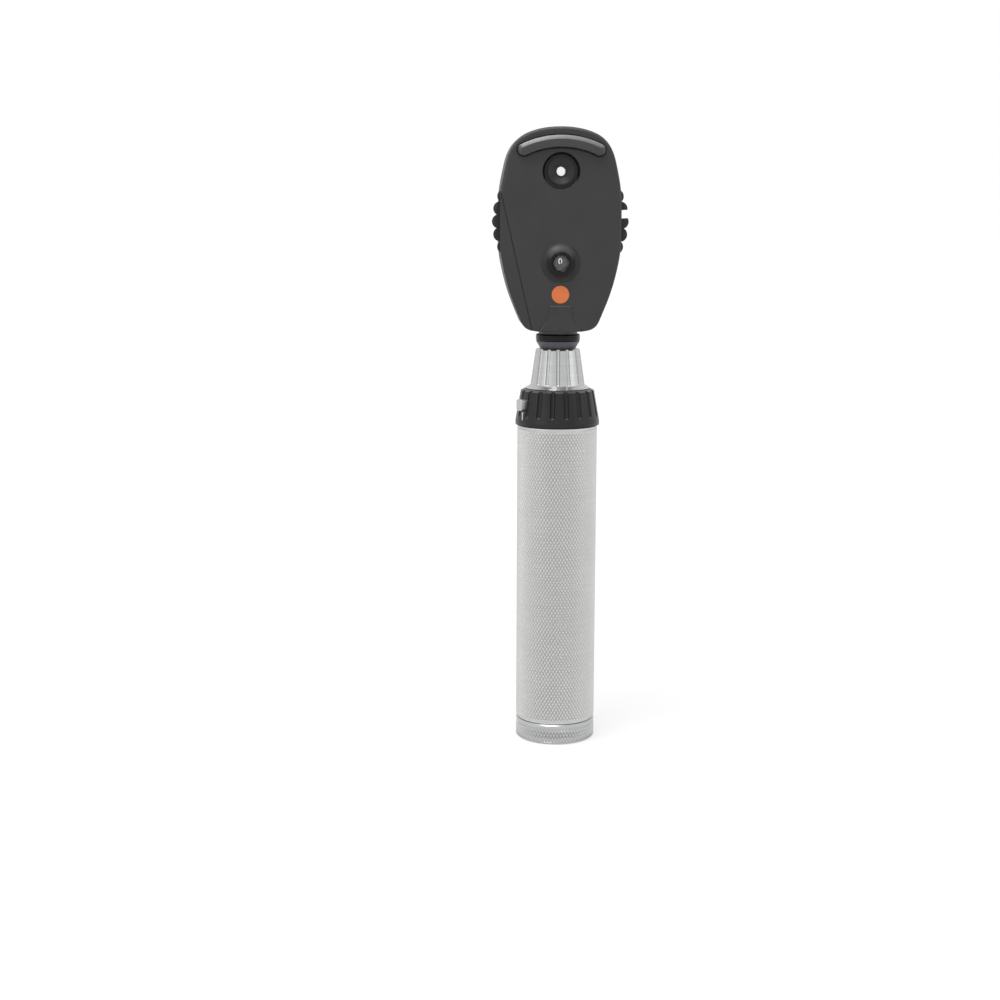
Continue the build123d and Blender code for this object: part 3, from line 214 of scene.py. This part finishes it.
soft_lamp("top_box", (-0.2, -0.3, 1.0), (0, 0, 0.15), 0.45, 4.0)
soft_lamp("left_box", (-0.9, -0.7, 0.45), (0, 0, 0.13), 0.5, 1.0)
soft_lamp("right_box", (0.95, -0.45, 0.35), (0, 0, 0.13), 0.5, 0.5)

# %% [markdown]
# The floor is one wide pale sheet. Seen directly it is mostly plain white, like the tent,
# and it keeps a part of its own shading near the object, so that the shadow stays on it and
# the sheet runs out into the tent without an edge.

# %% Floor
sheet = bmesh.new()
bmesh.ops.create_grid(sheet, x_segments=1, y_segments=1, size=6)
floor_mesh = bpy.data.meshes.new("floor")
sheet.to_mesh(floor_mesh)
sheet.free()
floor = bpy.data.objects.new("floor", floor_mesh)
bpy.context.scene.collection.objects.link(floor)
paper = bpy.data.materials.new("floor_paper")
paper.use_nodes = True
paper_tree = paper.node_tree
paper_tree.nodes.clear()
paper_place = paper_tree.nodes.new("ShaderNodeTexCoord")
paper_distance = vector_length(paper_tree, paper_place.outputs["Object"])
paper_fade = smooth_step(
    paper_tree, paper_distance, start=0.03, end=0.42, low=0.62, high=1.0
)
paper_share = calculated(paper_tree, "MULTIPLY", seen_plainly(paper_tree), paper_fade)
paper_matt = paper_tree.nodes.new("ShaderNodeBsdfDiffuse")
paper_matt.inputs["Color"].default_value = (0.9, 0.9, 0.9, 1)
paper_white = paper_tree.nodes.new("ShaderNodeEmission")
paper_white.inputs["Strength"].default_value = 1.05
paper_mix = paper_tree.nodes.new("ShaderNodeMixShader")
paper_tree.links.new(paper_share, paper_mix.inputs["Fac"])
paper_tree.links.new(paper_matt.outputs[0], paper_mix.inputs[1])
paper_tree.links.new(paper_white.outputs[0], paper_mix.inputs[2])
paper_out = paper_tree.nodes.new("ShaderNodeOutputMaterial")
paper_tree.links.new(paper_mix.outputs[0], paper_out.inputs["Surface"])
floor_mesh.materials.append(paper)
print("floor", floor.dimensions[:2])

# %% [markdown]
# ## Shared surface effects
#
# Every finish here is fine: moulded grain, turning lines, smudges from hands. Each effect is
# a node group built once, with named inputs, so that a material only sets its own amounts.
# The groups give heights and masks. The shader itself stays in each material.


# %% Group helper
def effect_group(name, inputs, outputs):
    """An empty shader node group with float or vector sockets."""
    tree = bpy.data.node_groups.new(name, "ShaderNodeTree")
    kinds = {"Vector": "NodeSocketVector", "Normal": "NodeSocketVector"}
    for label, value in inputs.items():
        socket = tree.interface.new_socket(
            label, in_out="INPUT", socket_type=kinds.get(label, "NodeSocketFloat")
        )
        if value is not None:
            socket.default_value = value
    for label in outputs:
        tree.interface.new_socket(label, in_out="OUTPUT", socket_type="NodeSocketFloat")
    return tree, tree.nodes.new("NodeGroupInput"), tree.nodes.new("NodeGroupOutput")


print("group helper ready")

# %% [markdown]
# Moulded grain is the eroded texture of an injection mould: tiny rounded pits with no
# direction. Voronoi cells softened by noise look most like it.

# %% Moulded grain
grain_tree, grain_in, grain_out = effect_group(
    "moulded_grain", {"Vector": None, "Cells per metre": 4000.0}, ["Height", "Tone"]
)
cells = grain_tree.nodes.new("ShaderNodeTexVoronoi")
cells.feature = "SMOOTH_F1"
grain_tree.links.new(grain_in.outputs["Vector"], cells.inputs["Vector"])
grain_tree.links.new(grain_in.outputs["Cells per metre"], cells.inputs["Scale"])
fine = grain_tree.nodes.new("ShaderNodeTexNoise")
fine.inputs["Detail"].default_value = 3.0
grain_tree.links.new(grain_in.outputs["Vector"], fine.inputs["Vector"])
grain_tree.links.new(grain_in.outputs["Cells per metre"], fine.inputs["Scale"])
pits = calculated(
    grain_tree, "MULTIPLY_ADD", cells.outputs["Distance"], 0.6, fine.outputs["Fac"]
)
grain_tree.links.new(pits, grain_out.inputs["Height"])
cloud = noise_at(grain_tree, grain_in.outputs["Vector"], 90.0, 3.0)
grain_tree.links.new(between(grain_tree, cloud, 0.0, 1.0), grain_out.inputs["Tone"])
print("group", grain_tree.name)

# %% [markdown]
# Handling leaves a thin, uneven film: some places are a little glossier than others, over
# one or two centimetres, with finer streaks inside. It drives the roughness only.

# %% Handling film
film_tree, film_in, film_out = effect_group(
    "handling_film", {"Vector": None, "Smooth": 0.3, "Dull": 0.5}, ["Roughness"]
)
broad = noise_at(film_tree, film_in.outputs["Vector"], 70.0, 4.0)
streaks = noise_at(film_tree, film_in.outputs["Vector"], 420.0, 4.0, (1, 1, 0.25))
film_broad = calculated(film_tree, "MULTIPLY", broad, 0.65)
film_level = calculated(film_tree, "MULTIPLY_ADD", streaks, 0.35, film_broad)
film_rough = between(
    film_tree, film_level, film_in.outputs["Smooth"], film_in.outputs["Dull"]
)
film_tree.links.new(film_rough, film_out.inputs["Roughness"])
print("group", film_tree.name)

# %% [markdown]
# A lathe leaves fine rings round the axis. Noise that is squeezed hard along the axis and
# not at all across it gives rings of uneven depth, which a plain wave wouldn't.

# %% Turning lines
lathe_tree, lathe_in, lathe_out = effect_group(
    "turning_lines", {"Vector": None}, ["Height", "Tone"]
)
rings = noise_at(lathe_tree, lathe_in.outputs["Vector"], 1.0, 2.0, (60, 60, 5200))
pores = noise_at(lathe_tree, lathe_in.outputs["Vector"], 5200.0, 2.0)
lathe_height = calculated(lathe_tree, "MULTIPLY_ADD", pores, 0.5, rings)
lathe_tree.links.new(lathe_height, lathe_out.inputs["Height"])
lathe_tree.links.new(between(lathe_tree, rings, 0.0, 1.0), lathe_out.inputs["Tone"])
print("group", lathe_tree.name)

# %% [markdown]
# A painted highlight lightens whatever looks up, as if light from above fell on it: bevels,
# the upper flank of a cone. The mask grows with the surface's upward tilt, read in the
# piece's own space, and noise breaks it.

# %% Painted top sheen
sheen_tree, sheen_in, sheen_out = effect_group(
    "settled_dust", {"Vector": None, "Normal": None, "Amount": 0.5}, ["Mask"]
)
sheen_tilt = sheen_tree.nodes.new("ShaderNodeSeparateXYZ")
sheen_tree.links.new(sheen_in.outputs["Normal"], sheen_tilt.inputs["Vector"])
sheen_rise = smooth_step(sheen_tree, sheen_tilt.outputs["Z"], start=0.18, end=0.62)
sheen_noise = noise_at(sheen_tree, sheen_in.outputs["Vector"], 900.0, 3.0)
sheen_breakup = between(sheen_tree, sheen_noise, 0.8, 1.0)
sheen_part = calculated(sheen_tree, "MULTIPLY", sheen_rise, sheen_breakup)
sheen_mask = calculated(sheen_tree, "MULTIPLY", sheen_part, sheen_in.outputs["Amount"])
sheen_tree.links.new(sheen_mask, sheen_out.inputs["Mask"])
print("group", sheen_tree.name)

# %% [markdown]
# Round places on the head's face, the sight dish and the display's cone, get painted
# shade: their colour is darkened, standing in for the shadow in the dish and on the cone's
# flanks. A mask by distance from the place's middle picks them out, on the front half only.

# %% Painted shade in round places
round_shade_tree, place_in, place_out = effect_group(
    "black_place", {"Vector": None, "Height": 0.2, "Radius": 0.007}, ["Mask"]
)
place_axes = round_shade_tree.nodes.new("ShaderNodeSeparateXYZ")
round_shade_tree.links.new(place_in.outputs["Vector"], place_axes.inputs["Vector"])
place_rise = calculated(
    round_shade_tree, "SUBTRACT", place_axes.outputs["Z"], place_in.outputs["Height"]
)
place_flat = round_shade_tree.nodes.new("ShaderNodeCombineXYZ")
round_shade_tree.links.new(place_axes.outputs["X"], place_flat.inputs["X"])
round_shade_tree.links.new(place_rise, place_flat.inputs["Z"])
place_reach = vector_length(round_shade_tree, place_flat.outputs["Vector"])
place_inside = calculated(round_shade_tree, "LESS_THAN", place_reach, place_in.outputs["Radius"])
place_front = calculated(round_shade_tree, "LESS_THAN", place_axes.outputs["Y"], 0.0)
round_shade_mask = calculated(round_shade_tree, "MULTIPLY", place_inside, place_front)
round_shade_tree.links.new(round_shade_mask, place_out.inputs["Mask"])
print("group", round_shade_tree.name)

# %% [markdown]
# ## Finishes
#
# A finish is a Principled shader whose colour wanders between two close tones, whose
# roughness follows the handling film and whose bump is the grain or the turning lines. Some
# also paint light into the colour: a highlight on faces that look up, shade in round places.
# What is the same all over, such as metal or not, is set on the shader itself.


# %% Finish helper
FACTOR, COLOUR_A, COLOUR_B = 0, 6, 7  # a colour Mix node's inputs
MIXED = 2  # its output


def laid_over(tree, under, level, mask):
    """A grey laid over a colour where a mask says so."""
    over = tree.nodes.new("ShaderNodeMix")
    over.data_type = "RGBA"
    over.inputs[COLOUR_B].default_value = (level, level, level, 1)
    tree.links.new(mask, over.inputs[FACTOR])
    tree.links.new(under, over.inputs[COLOUR_A])
    return over.outputs[MIXED]


def finish(
    name, tones, rough, effect, bump, metallic=0.0, specular=0.5, cells=None, painted_sheen=None, places=()
):
    """A material with a surface effect, a handling film and two tones.

    rough holds the film's smooth and dull roughness, bump its strength and its depth in
    millimetres. A painted highlight on faces that look up gets an amount and a grey, and
    each place of painted shade a height, a radius and a grey.
    """
    material = bpy.data.materials.new(name)
    material.use_nodes = True
    tree = material.node_tree
    shader = tree.nodes["Principled BSDF"]
    shader.inputs["Metallic"].default_value = metallic
    shader.inputs["Specular IOR Level"].default_value = specular
    coordinates = tree.nodes.new("ShaderNodeTexCoord")
    place = coordinates.outputs["Object"]
    surface = tree.nodes.new("ShaderNodeGroup")
    surface.node_tree = bpy.data.node_groups[effect]
    tree.links.new(place, surface.inputs["Vector"])
    if cells:
        surface.inputs["Cells per metre"].default_value = cells
    film = tree.nodes.new("ShaderNodeGroup")
    film.node_tree = film_tree
    film.inputs["Smooth"].default_value = rough[0]
    film.inputs["Dull"].default_value = rough[1]
    tree.links.new(place, film.inputs["Vector"])
    tree.links.new(film.outputs["Roughness"], shader.inputs["Roughness"])
    colour = tree.nodes.new("ShaderNodeMix")
    colour.data_type = "RGBA"
    colour.inputs[COLOUR_A].default_value = (*tones[0], 1)
    colour.inputs[COLOUR_B].default_value = (*tones[1], 1)
    tree.links.new(surface.outputs["Tone"], colour.inputs[FACTOR])
    shade = colour.outputs[MIXED]
    # Painted shade: each round place gets a darker grey.
    for height, radius, black in places:
        spot = tree.nodes.new("ShaderNodeGroup")
        spot.node_tree = round_shade_tree
        spot.inputs["Height"].default_value = height
        spot.inputs["Radius"].default_value = radius
        tree.links.new(place, spot.inputs["Vector"])
        shade = laid_over(tree, shade, black, spot.outputs["Mask"])
    # Painted highlight: a lighter grey laid on faces that look up.
    if painted_sheen:
        sheen_node = tree.nodes.new("ShaderNodeGroup")
        sheen_node.node_tree = sheen_tree
        sheen_node.inputs["Amount"].default_value = painted_sheen[0]
        tree.links.new(place, sheen_node.inputs["Vector"])
        tree.links.new(coordinates.outputs["Normal"], sheen_node.inputs["Normal"])
        shade = laid_over(tree, shade, painted_sheen[1], sheen_node.outputs["Mask"])
    tree.links.new(shade, shader.inputs["Base Color"])
    relief = tree.nodes.new("ShaderNodeBump")
    relief.inputs["Strength"].default_value = bump[0]
    relief.inputs["Distance"].default_value = bump[1] * MM
    tree.links.new(surface.outputs["Height"], relief.inputs["Height"])
    tree.links.new(relief.outputs["Normal"], shader.inputs["Normal"])
    return material, shader


def grey(level, tint=0.0):
    """A near-neutral colour; a positive tint is cooler."""
    return (level * (1 - tint), level, level * (1 + tint))


print("finish helper ready")

# %% [markdown]
# Metal: the grip and cap are satin anodised aluminium, blasted before knurling, so they are
# even and dull. The cone and the button are turned and polished a little brighter.

# %% Metal finishes
skins = {}
skins["knurled_aluminium"], _ = finish(
    "satin_anodised", (grey(0.56, -0.006), grey(0.62, -0.006)), (0.36, 0.48),
    "turning_lines", (0.15, 0.02), metallic=1.0,
)
skins["satin_aluminium"], _ = finish(
    "turned_aluminium", (grey(0.46, 0.006), grey(0.53, 0.006)), (0.24, 0.36),
    "turning_lines", (0.3, 0.02), metallic=1.0,
)
skins["brass"], _ = finish(
    "turned_brass", ((0.62, 0.42, 0.17), (0.7, 0.5, 0.22)), (0.22, 0.36),
    "turning_lines", (0.3, 0.02), metallic=1.0,
)
skins["spring_steel"], _ = finish(
    "spring_wire", (grey(0.42, 0.02), grey(0.5, 0.02)), (0.2, 0.34),
    "turning_lines", (0.25, 0.02), metallic=1.0,
)
skins["screw_steel"], _ = finish(
    "zinc_plate", (grey(0.4, 0.03), grey(0.48, 0.03)), (0.28, 0.42),
    "moulded_grain", (0.2, 0.01), metallic=1.0, cells=6000.0,
)
skins["cast_alloy"], _ = finish(
    "die_casting", (grey(0.3, 0.01), grey(0.38, 0.01)), (0.45, 0.62),
    "moulded_grain", (0.6, 0.04), metallic=1.0, cells=2200.0,
)
skins["plug_metal"], _ = finish(
    "grey_anodised", ((0.075, 0.072, 0.085), (0.09, 0.086, 0.102)), (0.36, 0.48),
    "turning_lines", (0.3, 0.02), specular=0.3,
)
skins["mirror_coat"], _ = finish(
    "front_silver", (grey(0.88), grey(0.92)), (0.015, 0.04),
    "moulded_grain", (0.02, 0.002), metallic=1.0, cells=900.0,
)
print("metals", sorted(skins))

# %% [markdown]
# Plastic: the head's shells are matt with a fine even grain, the dimmer ring and the lens
# wheel are a satin black, the collar and the display's bezel are glossy.

# %% Plastic finishes
# The radii of the painted shade in the sight dish and on the display's cone.
dish_shade_radius, cone_shade_radius = 6.85 * MM, 7.3 * MM  # the radii of the two black places
sight_height = sum(c.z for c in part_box("sight_ring")) / 2
display_height = sum(c.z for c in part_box("display_bezel")) / 2
# The shell's colour holds painted light: a highlight on faces that look up, and shade in the sight
# dish and on the display's cone.
skins["head_plastic"], _ = finish(
    "grained_shell", (grey(0.0215, -0.012), grey(0.026, -0.012)), (0.44, 0.56),
    "moulded_grain", (0.5, 0.03), specular=0.42, cells=5200.0, painted_sheen=(0.5, 0.11),
    places=((sight_height, dish_shade_radius, 0.004), (display_height, cone_shade_radius, 0.007)),
)
# The ring's colour holds a painted highlight on faces that look up.
skins["ring_plastic"], _ = finish(
    "satin_black", (grey(0.013, -0.02), grey(0.018, -0.02)), (0.28, 0.4),
    "moulded_grain", (0.25, 0.02), specular=0.25, cells=6500.0, painted_sheen=(0.5, 0.12),
)
# The wheel's colour holds a painted highlight on faces that look up.
skins["wheel_rubber"], _ = finish(
    "wheel_black", (grey(0.010, 0.0), grey(0.015, 0.0)), (0.36, 0.5),
    "moulded_grain", (0.35, 0.02), specular=0.3, cells=5200.0, painted_sheen=(0.4, 0.1),
)
skins["gloss_black"], _ = finish(
    "gloss_black", (grey(0.004, 0.04), grey(0.007, 0.04)), (0.12, 0.22),
    "moulded_grain", (0.04, 0.01), specular=0.2, cells=1400.0,
)
skins["black_plastic"], _ = finish(
    "inner_black", (grey(0.018), grey(0.026)), (0.42, 0.58),
    "moulded_grain", (0.4, 0.03), cells=3200.0,
)
skins["white_plastic"], _ = finish(
    "inner_white", (grey(0.68), grey(0.74)), (0.35, 0.5),
    "moulded_grain", (0.2, 0.02), cells=3200.0,
)
skins["black_rubber"], _ = finish(
    "seal_rubber", (grey(0.014), grey(0.022)), (0.55, 0.72),
    "moulded_grain", (0.4, 0.03), specular=0.3, cells=2600.0,
)
# The rest's bevel gets a strong painted highlight: a much lighter grey where it looks up.
skins["soft_rest"], _ = finish(
    "soft_rest", (grey(0.026, 0.0), grey(0.034, 0.0)), (0.26, 0.34),
    "moulded_grain", (0.15, 0.012), specular=0.5, cells=5200.0, painted_sheen=(0.95, 0.26),
)
skins["track_carbon"], _ = finish(
    "carbon_track", (grey(0.02), grey(0.035)), (0.5, 0.7),
    "turning_lines", (0.3, 0.02), specular=0.3,
)
skins["white_paint"], _ = finish(
    "index_white", (grey(0.72), grey(0.8)), (0.35, 0.5),
    "moulded_grain", (0.2, 0.01), cells=5000.0,
)
skins["inlay"], _ = finish(
    "orange_inlay", ((0.6, 0.13, 0.03), (0.68, 0.17, 0.045)), (0.3, 0.42),
    "moulded_grain", (0.3, 0.015), cells=4200.0,
)
skins["number_film"], _ = finish(
    "number_film", (grey(0.012), grey(0.018)), (0.3, 0.45),
    "moulded_grain", (0.15, 0.01), cells=4200.0,
)
skins["battery_wrap"], _ = finish(
    "battery_wrap", ((0.03, 0.07, 0.22), (0.04, 0.09, 0.27)), (0.18, 0.3),
    "moulded_grain", (0.15, 0.03), cells=700.0,
)
print("finishes", len(skins))

# %% [markdown]
# Glass is clear with a faint film. The lamp's yellow cap is a cloudy glass, and the
# red-free filter is dyed green.


# %% Glass finishes
def glass(name, colour, rough, clear=1.0):
    """A transparent finish whose roughness follows the handling film."""
    material, shader = finish(
        name, (colour, tuple(c * 0.97 for c in colour)), rough,
        "moulded_grain", (0.01, 0.001), cells=300.0,
    )
    shader.inputs["Transmission Weight"].default_value = clear
    shader.inputs["IOR"].default_value = 1.5
    return material


skins["glass"] = glass("coated_glass", (0.97, 0.98, 1.0), (0.0, 0.03))
skins["green_glass"] = glass("green_filter", (0.1, 0.6, 0.22), (0.02, 0.06))
skins["lamp_lens"] = glass("lamp_cap", (0.95, 0.86, 0.35), (0.2, 0.35), clear=0.5)
print("glass finishes ready")

# %% [markdown]
# Every node of the frame names the material it is made of. The finish of that name goes on
# it here, so the inner pieces get theirs as well as the outer ones.

# %% Finish every CAD node
slots = {part["node"]: part["material_slot"] for part in frame["record"]["subparts"]}
for node, slot in slots.items():
    body = frame["nodes"][node]
    for holder in body.material_slots:
        holder.material = skins[slot]
    if not body.material_slots:
        body.data.materials.append(skins[slot])
print("finished", len(slots), "nodes")

# %% [markdown]
# ## Knurled grip and end cap
#
# A knurling wheel presses two crossing sets of slanted grooves into the tube and leaves
# rows of small diamonds. Bump could fake it, but the outline of the handle and the play of
# light need real diamonds. The way here: an open cylinder is divided into a fine grid, every
# second corner is joined across its face, the corners between are dissolved, and what is
# left is a net of diamond faces round the tube. One inset raises them all.


# %% Knurl helpers
grip_outer = 15.0  # in millimetres, like the rest of the sleeves' profiles
diamonds_around, diamond_tall, diamond_deep = 74, 2.15 * MM, 0.24 * MM
diamond_slant = 1.2  # a diamond's border, as wide as this many times its depth


def ring_of(verts, z):
    """The edges that join neighbouring vertices at a height."""
    at_level = {v for v in verts if abs(v.co.z - z) < 1e-6}
    return [e for e in {e for v in at_level for e in v.link_edges} if set(e.verts) <= at_level]


def carry_on(mesh, edges, radius, z):
    """Draw a ring of edges on to another radius and height."""
    made = bmesh.ops.extrude_edge_only(mesh, edges=edges)["geom"]
    for v in (g for g in made if isinstance(g, bmesh.types.BMVert)):
        turn_angle = atan2(v.co.y, v.co.x)
        v.co = Vector((radius * cos(turn_angle), radius * sin(turn_angle), z))
    return [g for g in made if isinstance(g, bmesh.types.BMEdge)]


def diamond_net(around, rows, valley, low, high):
    """An open sleeve of diamonds, sunk at their borders, and its two end rings."""
    mesh = bmesh.new()
    bmesh.ops.create_cone(
        mesh, cap_ends=False, segments=2 * around, radius1=valley, radius2=valley,
        depth=high - low, matrix=Matrix.Translation((0, 0, (low + high) / 2)),
    )
    upright = [e for e in mesh.edges if abs(e.verts[0].co.z - e.verts[1].co.z) > 1e-6]
    bmesh.ops.subdivide_edges(mesh, edges=upright, cuts=2 * rows - 1)
    column, row = pi / around, (high - low) / (2 * rows)

    def odd(v):
        return (round(atan2(v.co.y, v.co.x) / column) + round((v.co.z - low) / row)) % 2

    phase = min(atan2(v.co.y, v.co.x) % column for v in mesh.verts)
    bmesh.ops.rotate(mesh, verts=mesh.verts, matrix=Matrix.Rotation(-phase, 3, "Z"))
    bmesh.ops.connect_verts(mesh, verts=[v for v in mesh.verts if not odd(v)])
    between_rows = [v for v in mesh.verts if odd(v) and low + row / 2 < v.co.z < high - row / 2]
    bmesh.ops.dissolve_verts(mesh, verts=between_rows)
    return mesh


def finish_piece(mesh, name, skin, body, node=None, smooth=False):
    """Make an object of a mesh, hang it on its body and hide the CAD node it replaces."""
    bmesh.ops.recalc_face_normals(mesh, faces=mesh.faces)
    data = bpy.data.meshes.new(name)
    mesh.to_mesh(data)
    mesh.free()
    data.materials.append(skin)
    if smooth:
        data.shade_smooth()
    piece = bpy.data.objects.new(name, data)
    bpy.context.scene.collection.objects.link(piece)
    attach(piece, body)
    if node:
        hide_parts(node)
    print(name, len(data.polygons), "faces")
    return piece


def knurled_sleeve(name, low, high, above, body, node, slot):
    """A knurled tube: the net from low to high, then plain rings that come back below it.

    Each ring above it has a radius and a height in millimetres.
    """
    rows = round((high - low) / diamond_tall)
    mesh = diamond_net(diamonds_around, rows, grip_outer * MM - diamond_deep, low, high)
    net = list(mesh.faces)
    top = ring_of(mesh.verts, high)
    bottom = ring_of(mesh.verts, low)
    bottom_marks = {v for e in bottom for v in e.verts}
    bmesh.ops.inset_individual(
        mesh, faces=[f for f in net if len(f.verts) == 4],
        thickness=diamond_deep * diamond_slant, depth=diamond_deep,
    )
    ring = top
    for radius, z in above:
        ring = carry_on(mesh, ring, radius * MM, z * MM)
    bottom = [e for e in mesh.edges if e.is_boundary and set(e.verts) <= bottom_marks]
    bmesh.ops.bridge_loops(mesh, edges=ring + bottom)
    return finish_piece(mesh, name, skins[slot], body, node)


print("knurl helpers ready")

# %% [markdown]
# The grip's diamonds run from the cap's groove to a narrow plain band under the dimmer
# ring. Its ends are chamfered and its bore takes the battery.

# %% Grip
grip_low, grip_high = (c.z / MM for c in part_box("grip_tube"))
bore, chamfered = 13.4, 14.75
knurled_sleeve(
    "knurled_grip", (grip_low + 0.3) * MM, (grip_high - 0.9) * MM,
    [
        (grip_outer, grip_high - 0.8), (grip_outer, grip_high - 0.25), (chamfered, grip_high),
        (bore, grip_high), (bore, grip_low), (chamfered, grip_low),
    ],
    "handle", "grip_tube", "knurled_aluminium",
)

# %% [markdown]
# The cap has the same diamonds on a short band, a plain band above it and a spigot with
# the thread's place inside the tube. Its foot is a flat ring round the charging insert.

# %% End cap
shoulder, spigot_top, insert_seat = 7.65, 15.15, 3.2
spigot, spigot_bore, insert_bore = 13.32, 11.32, 8.03
knurled_sleeve(
    "knurled_cap", 1.0 * MM, 6.1 * MM,
    [
        (grip_outer, 6.25), (grip_outer, 7.3), (14.65, shoulder), (spigot, shoulder),
        (spigot, spigot_top), (spigot_bore, spigot_top), (spigot_bore, insert_seat),
        (insert_bore, insert_seat), (insert_bore, 0.0), (14.3, 0.0), (grip_outer, 0.7),
        (grip_outer, 0.9),
    ],
    "end_cap", "end_cap", "satin_aluminium",
)

# %% [markdown]
# ## Brow rest
#
# A curved strip of soft plastic lies in a groove near the head's top, so that glasses aren't
# scratched. Its upper side is one wide slanted face that catches the light, and its front
# is flat. A short line across the strip is spun along the arc, its ends are spun round, and
# the flat shape is then raised, inset and rounded, which keeps the strip's width even.

# %% Brow rest
rest_low, rest_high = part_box("orbital_rest")
rest_half, rest_arc, rest_reach = 2.2 * MM, 31.5 * MM, radians(25.8)
bevel_wide, bevel_tall, bevel_shift, bevel_round = 0.85 * MM, 0.8 * MM, 0.62 * MM, 0.16 * MM
arc_centre = Vector((0, rest_high.y, rest_high.z - rest_half - rest_arc))
rest = bmesh.new()
across = [
    rest.verts.new(arc_centre + Vector((0, 0, rest_arc + share * rest_half)))
    for share in (-1, 0, 1)
]
lines = [rest.edges.new(across[:2]), rest.edges.new(across[1:])]
bmesh.ops.rotate(
    rest, verts=rest.verts, cent=arc_centre, matrix=Matrix.Rotation(rest_reach, 3, "Y")
)
swept = bmesh.ops.spin(
    rest, geom=across + lines, cent=arc_centre, axis=(0, 1, 0), angle=-2 * rest_reach,
    steps=56, use_merge=False,
)["geom_last"]
far_end = [g for g in swept if isinstance(g, bmesh.types.BMVert)]
for end, half_turn in ((across, pi), (far_end, -pi)):
    end = sorted(end, key=lambda v: (v.co - arc_centre).length)
    outer_line = next(e for e in end[1].link_edges if end[2] in e.verts)
    bmesh.ops.spin(
        rest, geom=[end[1], end[2], outer_line], cent=end[1].co.copy(), axis=(0, 1, 0),
        angle=half_turn, steps=10, use_merge=False,
    )
bmesh.ops.remove_doubles(rest, verts=rest.verts, dist=0.01 * MM)
bmesh.ops.recalc_face_normals(rest, faces=rest.faces)
print("strip", len(rest.faces), "faces, boundary", sum(e.is_boundary for e in rest.edges))

# %% [markdown]
# The flat shape is raised to the foot of the bevel. The inset then makes the bevel all
# round. A small shrink of its top towards the arc's centre widens the bevel above and
# narrows it below. The sharp edges that are left are rounded last.

# %% Raise and bevel the brow rest
raised = bmesh.ops.extrude_face_region(rest, geom=list(rest.faces))["geom"]
lid = [g for g in raised if isinstance(g, bmesh.types.BMFace)]
lid_verts = {v for face in lid for v in face.verts}
bmesh.ops.translate(
    rest, verts=list(lid_verts), vec=(0, rest_low.y + bevel_tall - rest_high.y, 0)
)
bmesh.ops.recalc_face_normals(rest, faces=rest.faces)
bmesh.ops.inset_region(
    rest, faces=lid, thickness=bevel_wide, depth=bevel_tall, use_boundary=True,
    use_even_offset=True,
)
top_verts = {v for face in lid for v in face.verts}
shrink = 1 - bevel_shift / rest_arc
bmesh.ops.scale(
    rest, verts=list(top_verts), vec=(shrink, 1, shrink), space=Matrix.Translation(-arc_centre)
)
rims = [
    e for e in rest.edges
    if len(e.link_faces) == 2 and e.calc_face_angle() > radians(25)
    and all(v.co.y < rest_high.y - 1 * MM for v in e.verts)
]
bmesh.ops.bevel(
    rest, geom=rims, offset=bevel_round, affect="EDGES", segments=3, profile=0.5, material=-1
)
brow_rest = finish_piece(
    rest, "brow_rest", skins["soft_rest"], "head", "orbital_rest", smooth=True
)
brow_rest.data.set_sharp_from_angle(angle=radians(35))
print("brow rest box", [round(c / MM, 2) for c in brow_rest.dimensions])

# %% [markdown]
# ## Numerals of the lens wheel
#
# Each lens has its power printed on the ring, and the one in use shows through the small
# magnifier, lit by the instrument's own lamp. Real digits are made from text, made a mesh
# and set round the ring, so they turn with the wheel. The ink has a weak emission, a
# painted glow that stands in for the lamp's light on them.

# %% Ink with a painted glow
skins["lit_ink"], ink = finish(
    "painted_glow_numerals", (grey(0.74), grey(0.82)), (0.4, 0.55),
    "moulded_grain", (0.1, 0.005), cells=5000.0,
)
# Painted glow: a weak emission stands in for the lamp's light reaching the numerals.
ink.inputs["Emission Color"].default_value = (1, 1, 0.97, 1)
ink.inputs["Emission Strength"].default_value = 0.7
print("ink ready")


# %% Numerals
figure_size, figure_extrude = 2.7 * MM, 0.012 * MM
figure_circle, figure_lift = 14.55 * MM, 0.02 * MM


def numeral(figures):
    """One number as flat geometry, its middle at the origin."""
    words = bpy.data.curves.new("figures", "FONT")
    words.body = figures
    words.size = figure_size
    words.align_x = "CENTER"
    words.align_y = "CENTER"
    words.extrude = figure_extrude
    holder = bpy.data.objects.new("figures", words)
    flat = bpy.data.meshes.new_from_object(holder)
    bpy.data.objects.remove(holder)
    return flat


band_low, band_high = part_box("dioptre_ring")
band_middle = (band_low + band_high) / 2
plus_powers = [*range(1, 11), 12, 15, 20, 40]
minus_powers = [*range(1, 11), 15, 20, 25]
powers = [0, *plus_powers, *reversed(minus_powers)]
numerals = bmesh.new()
for place, power in enumerate(powers):
    before = set(numerals.verts)
    figures = numeral(str(power))
    numerals.from_mesh(figures)
    bpy.data.meshes.remove(figures)
    fresh = [v for v in numerals.verts if v not in before]
    bmesh.ops.rotate(numerals, verts=fresh, cent=(0, 0, 0), matrix=Matrix.Rotation(pi / 2, 3, "X"))
    bmesh.ops.translate(numerals, verts=fresh, vec=(0, 0, -figure_circle))
    bmesh.ops.rotate(
        numerals, verts=fresh, cent=(0, 0, 0),
        matrix=Matrix.Rotation(2 * pi * place / len(powers), 3, "Y"),
    )
bmesh.ops.translate(
    numerals, verts=numerals.verts, vec=(0, band_low.y - figure_lift, band_middle.z)
)
finish_piece(numerals, "power_numerals", skins["lit_ink"], "lens_wheel")
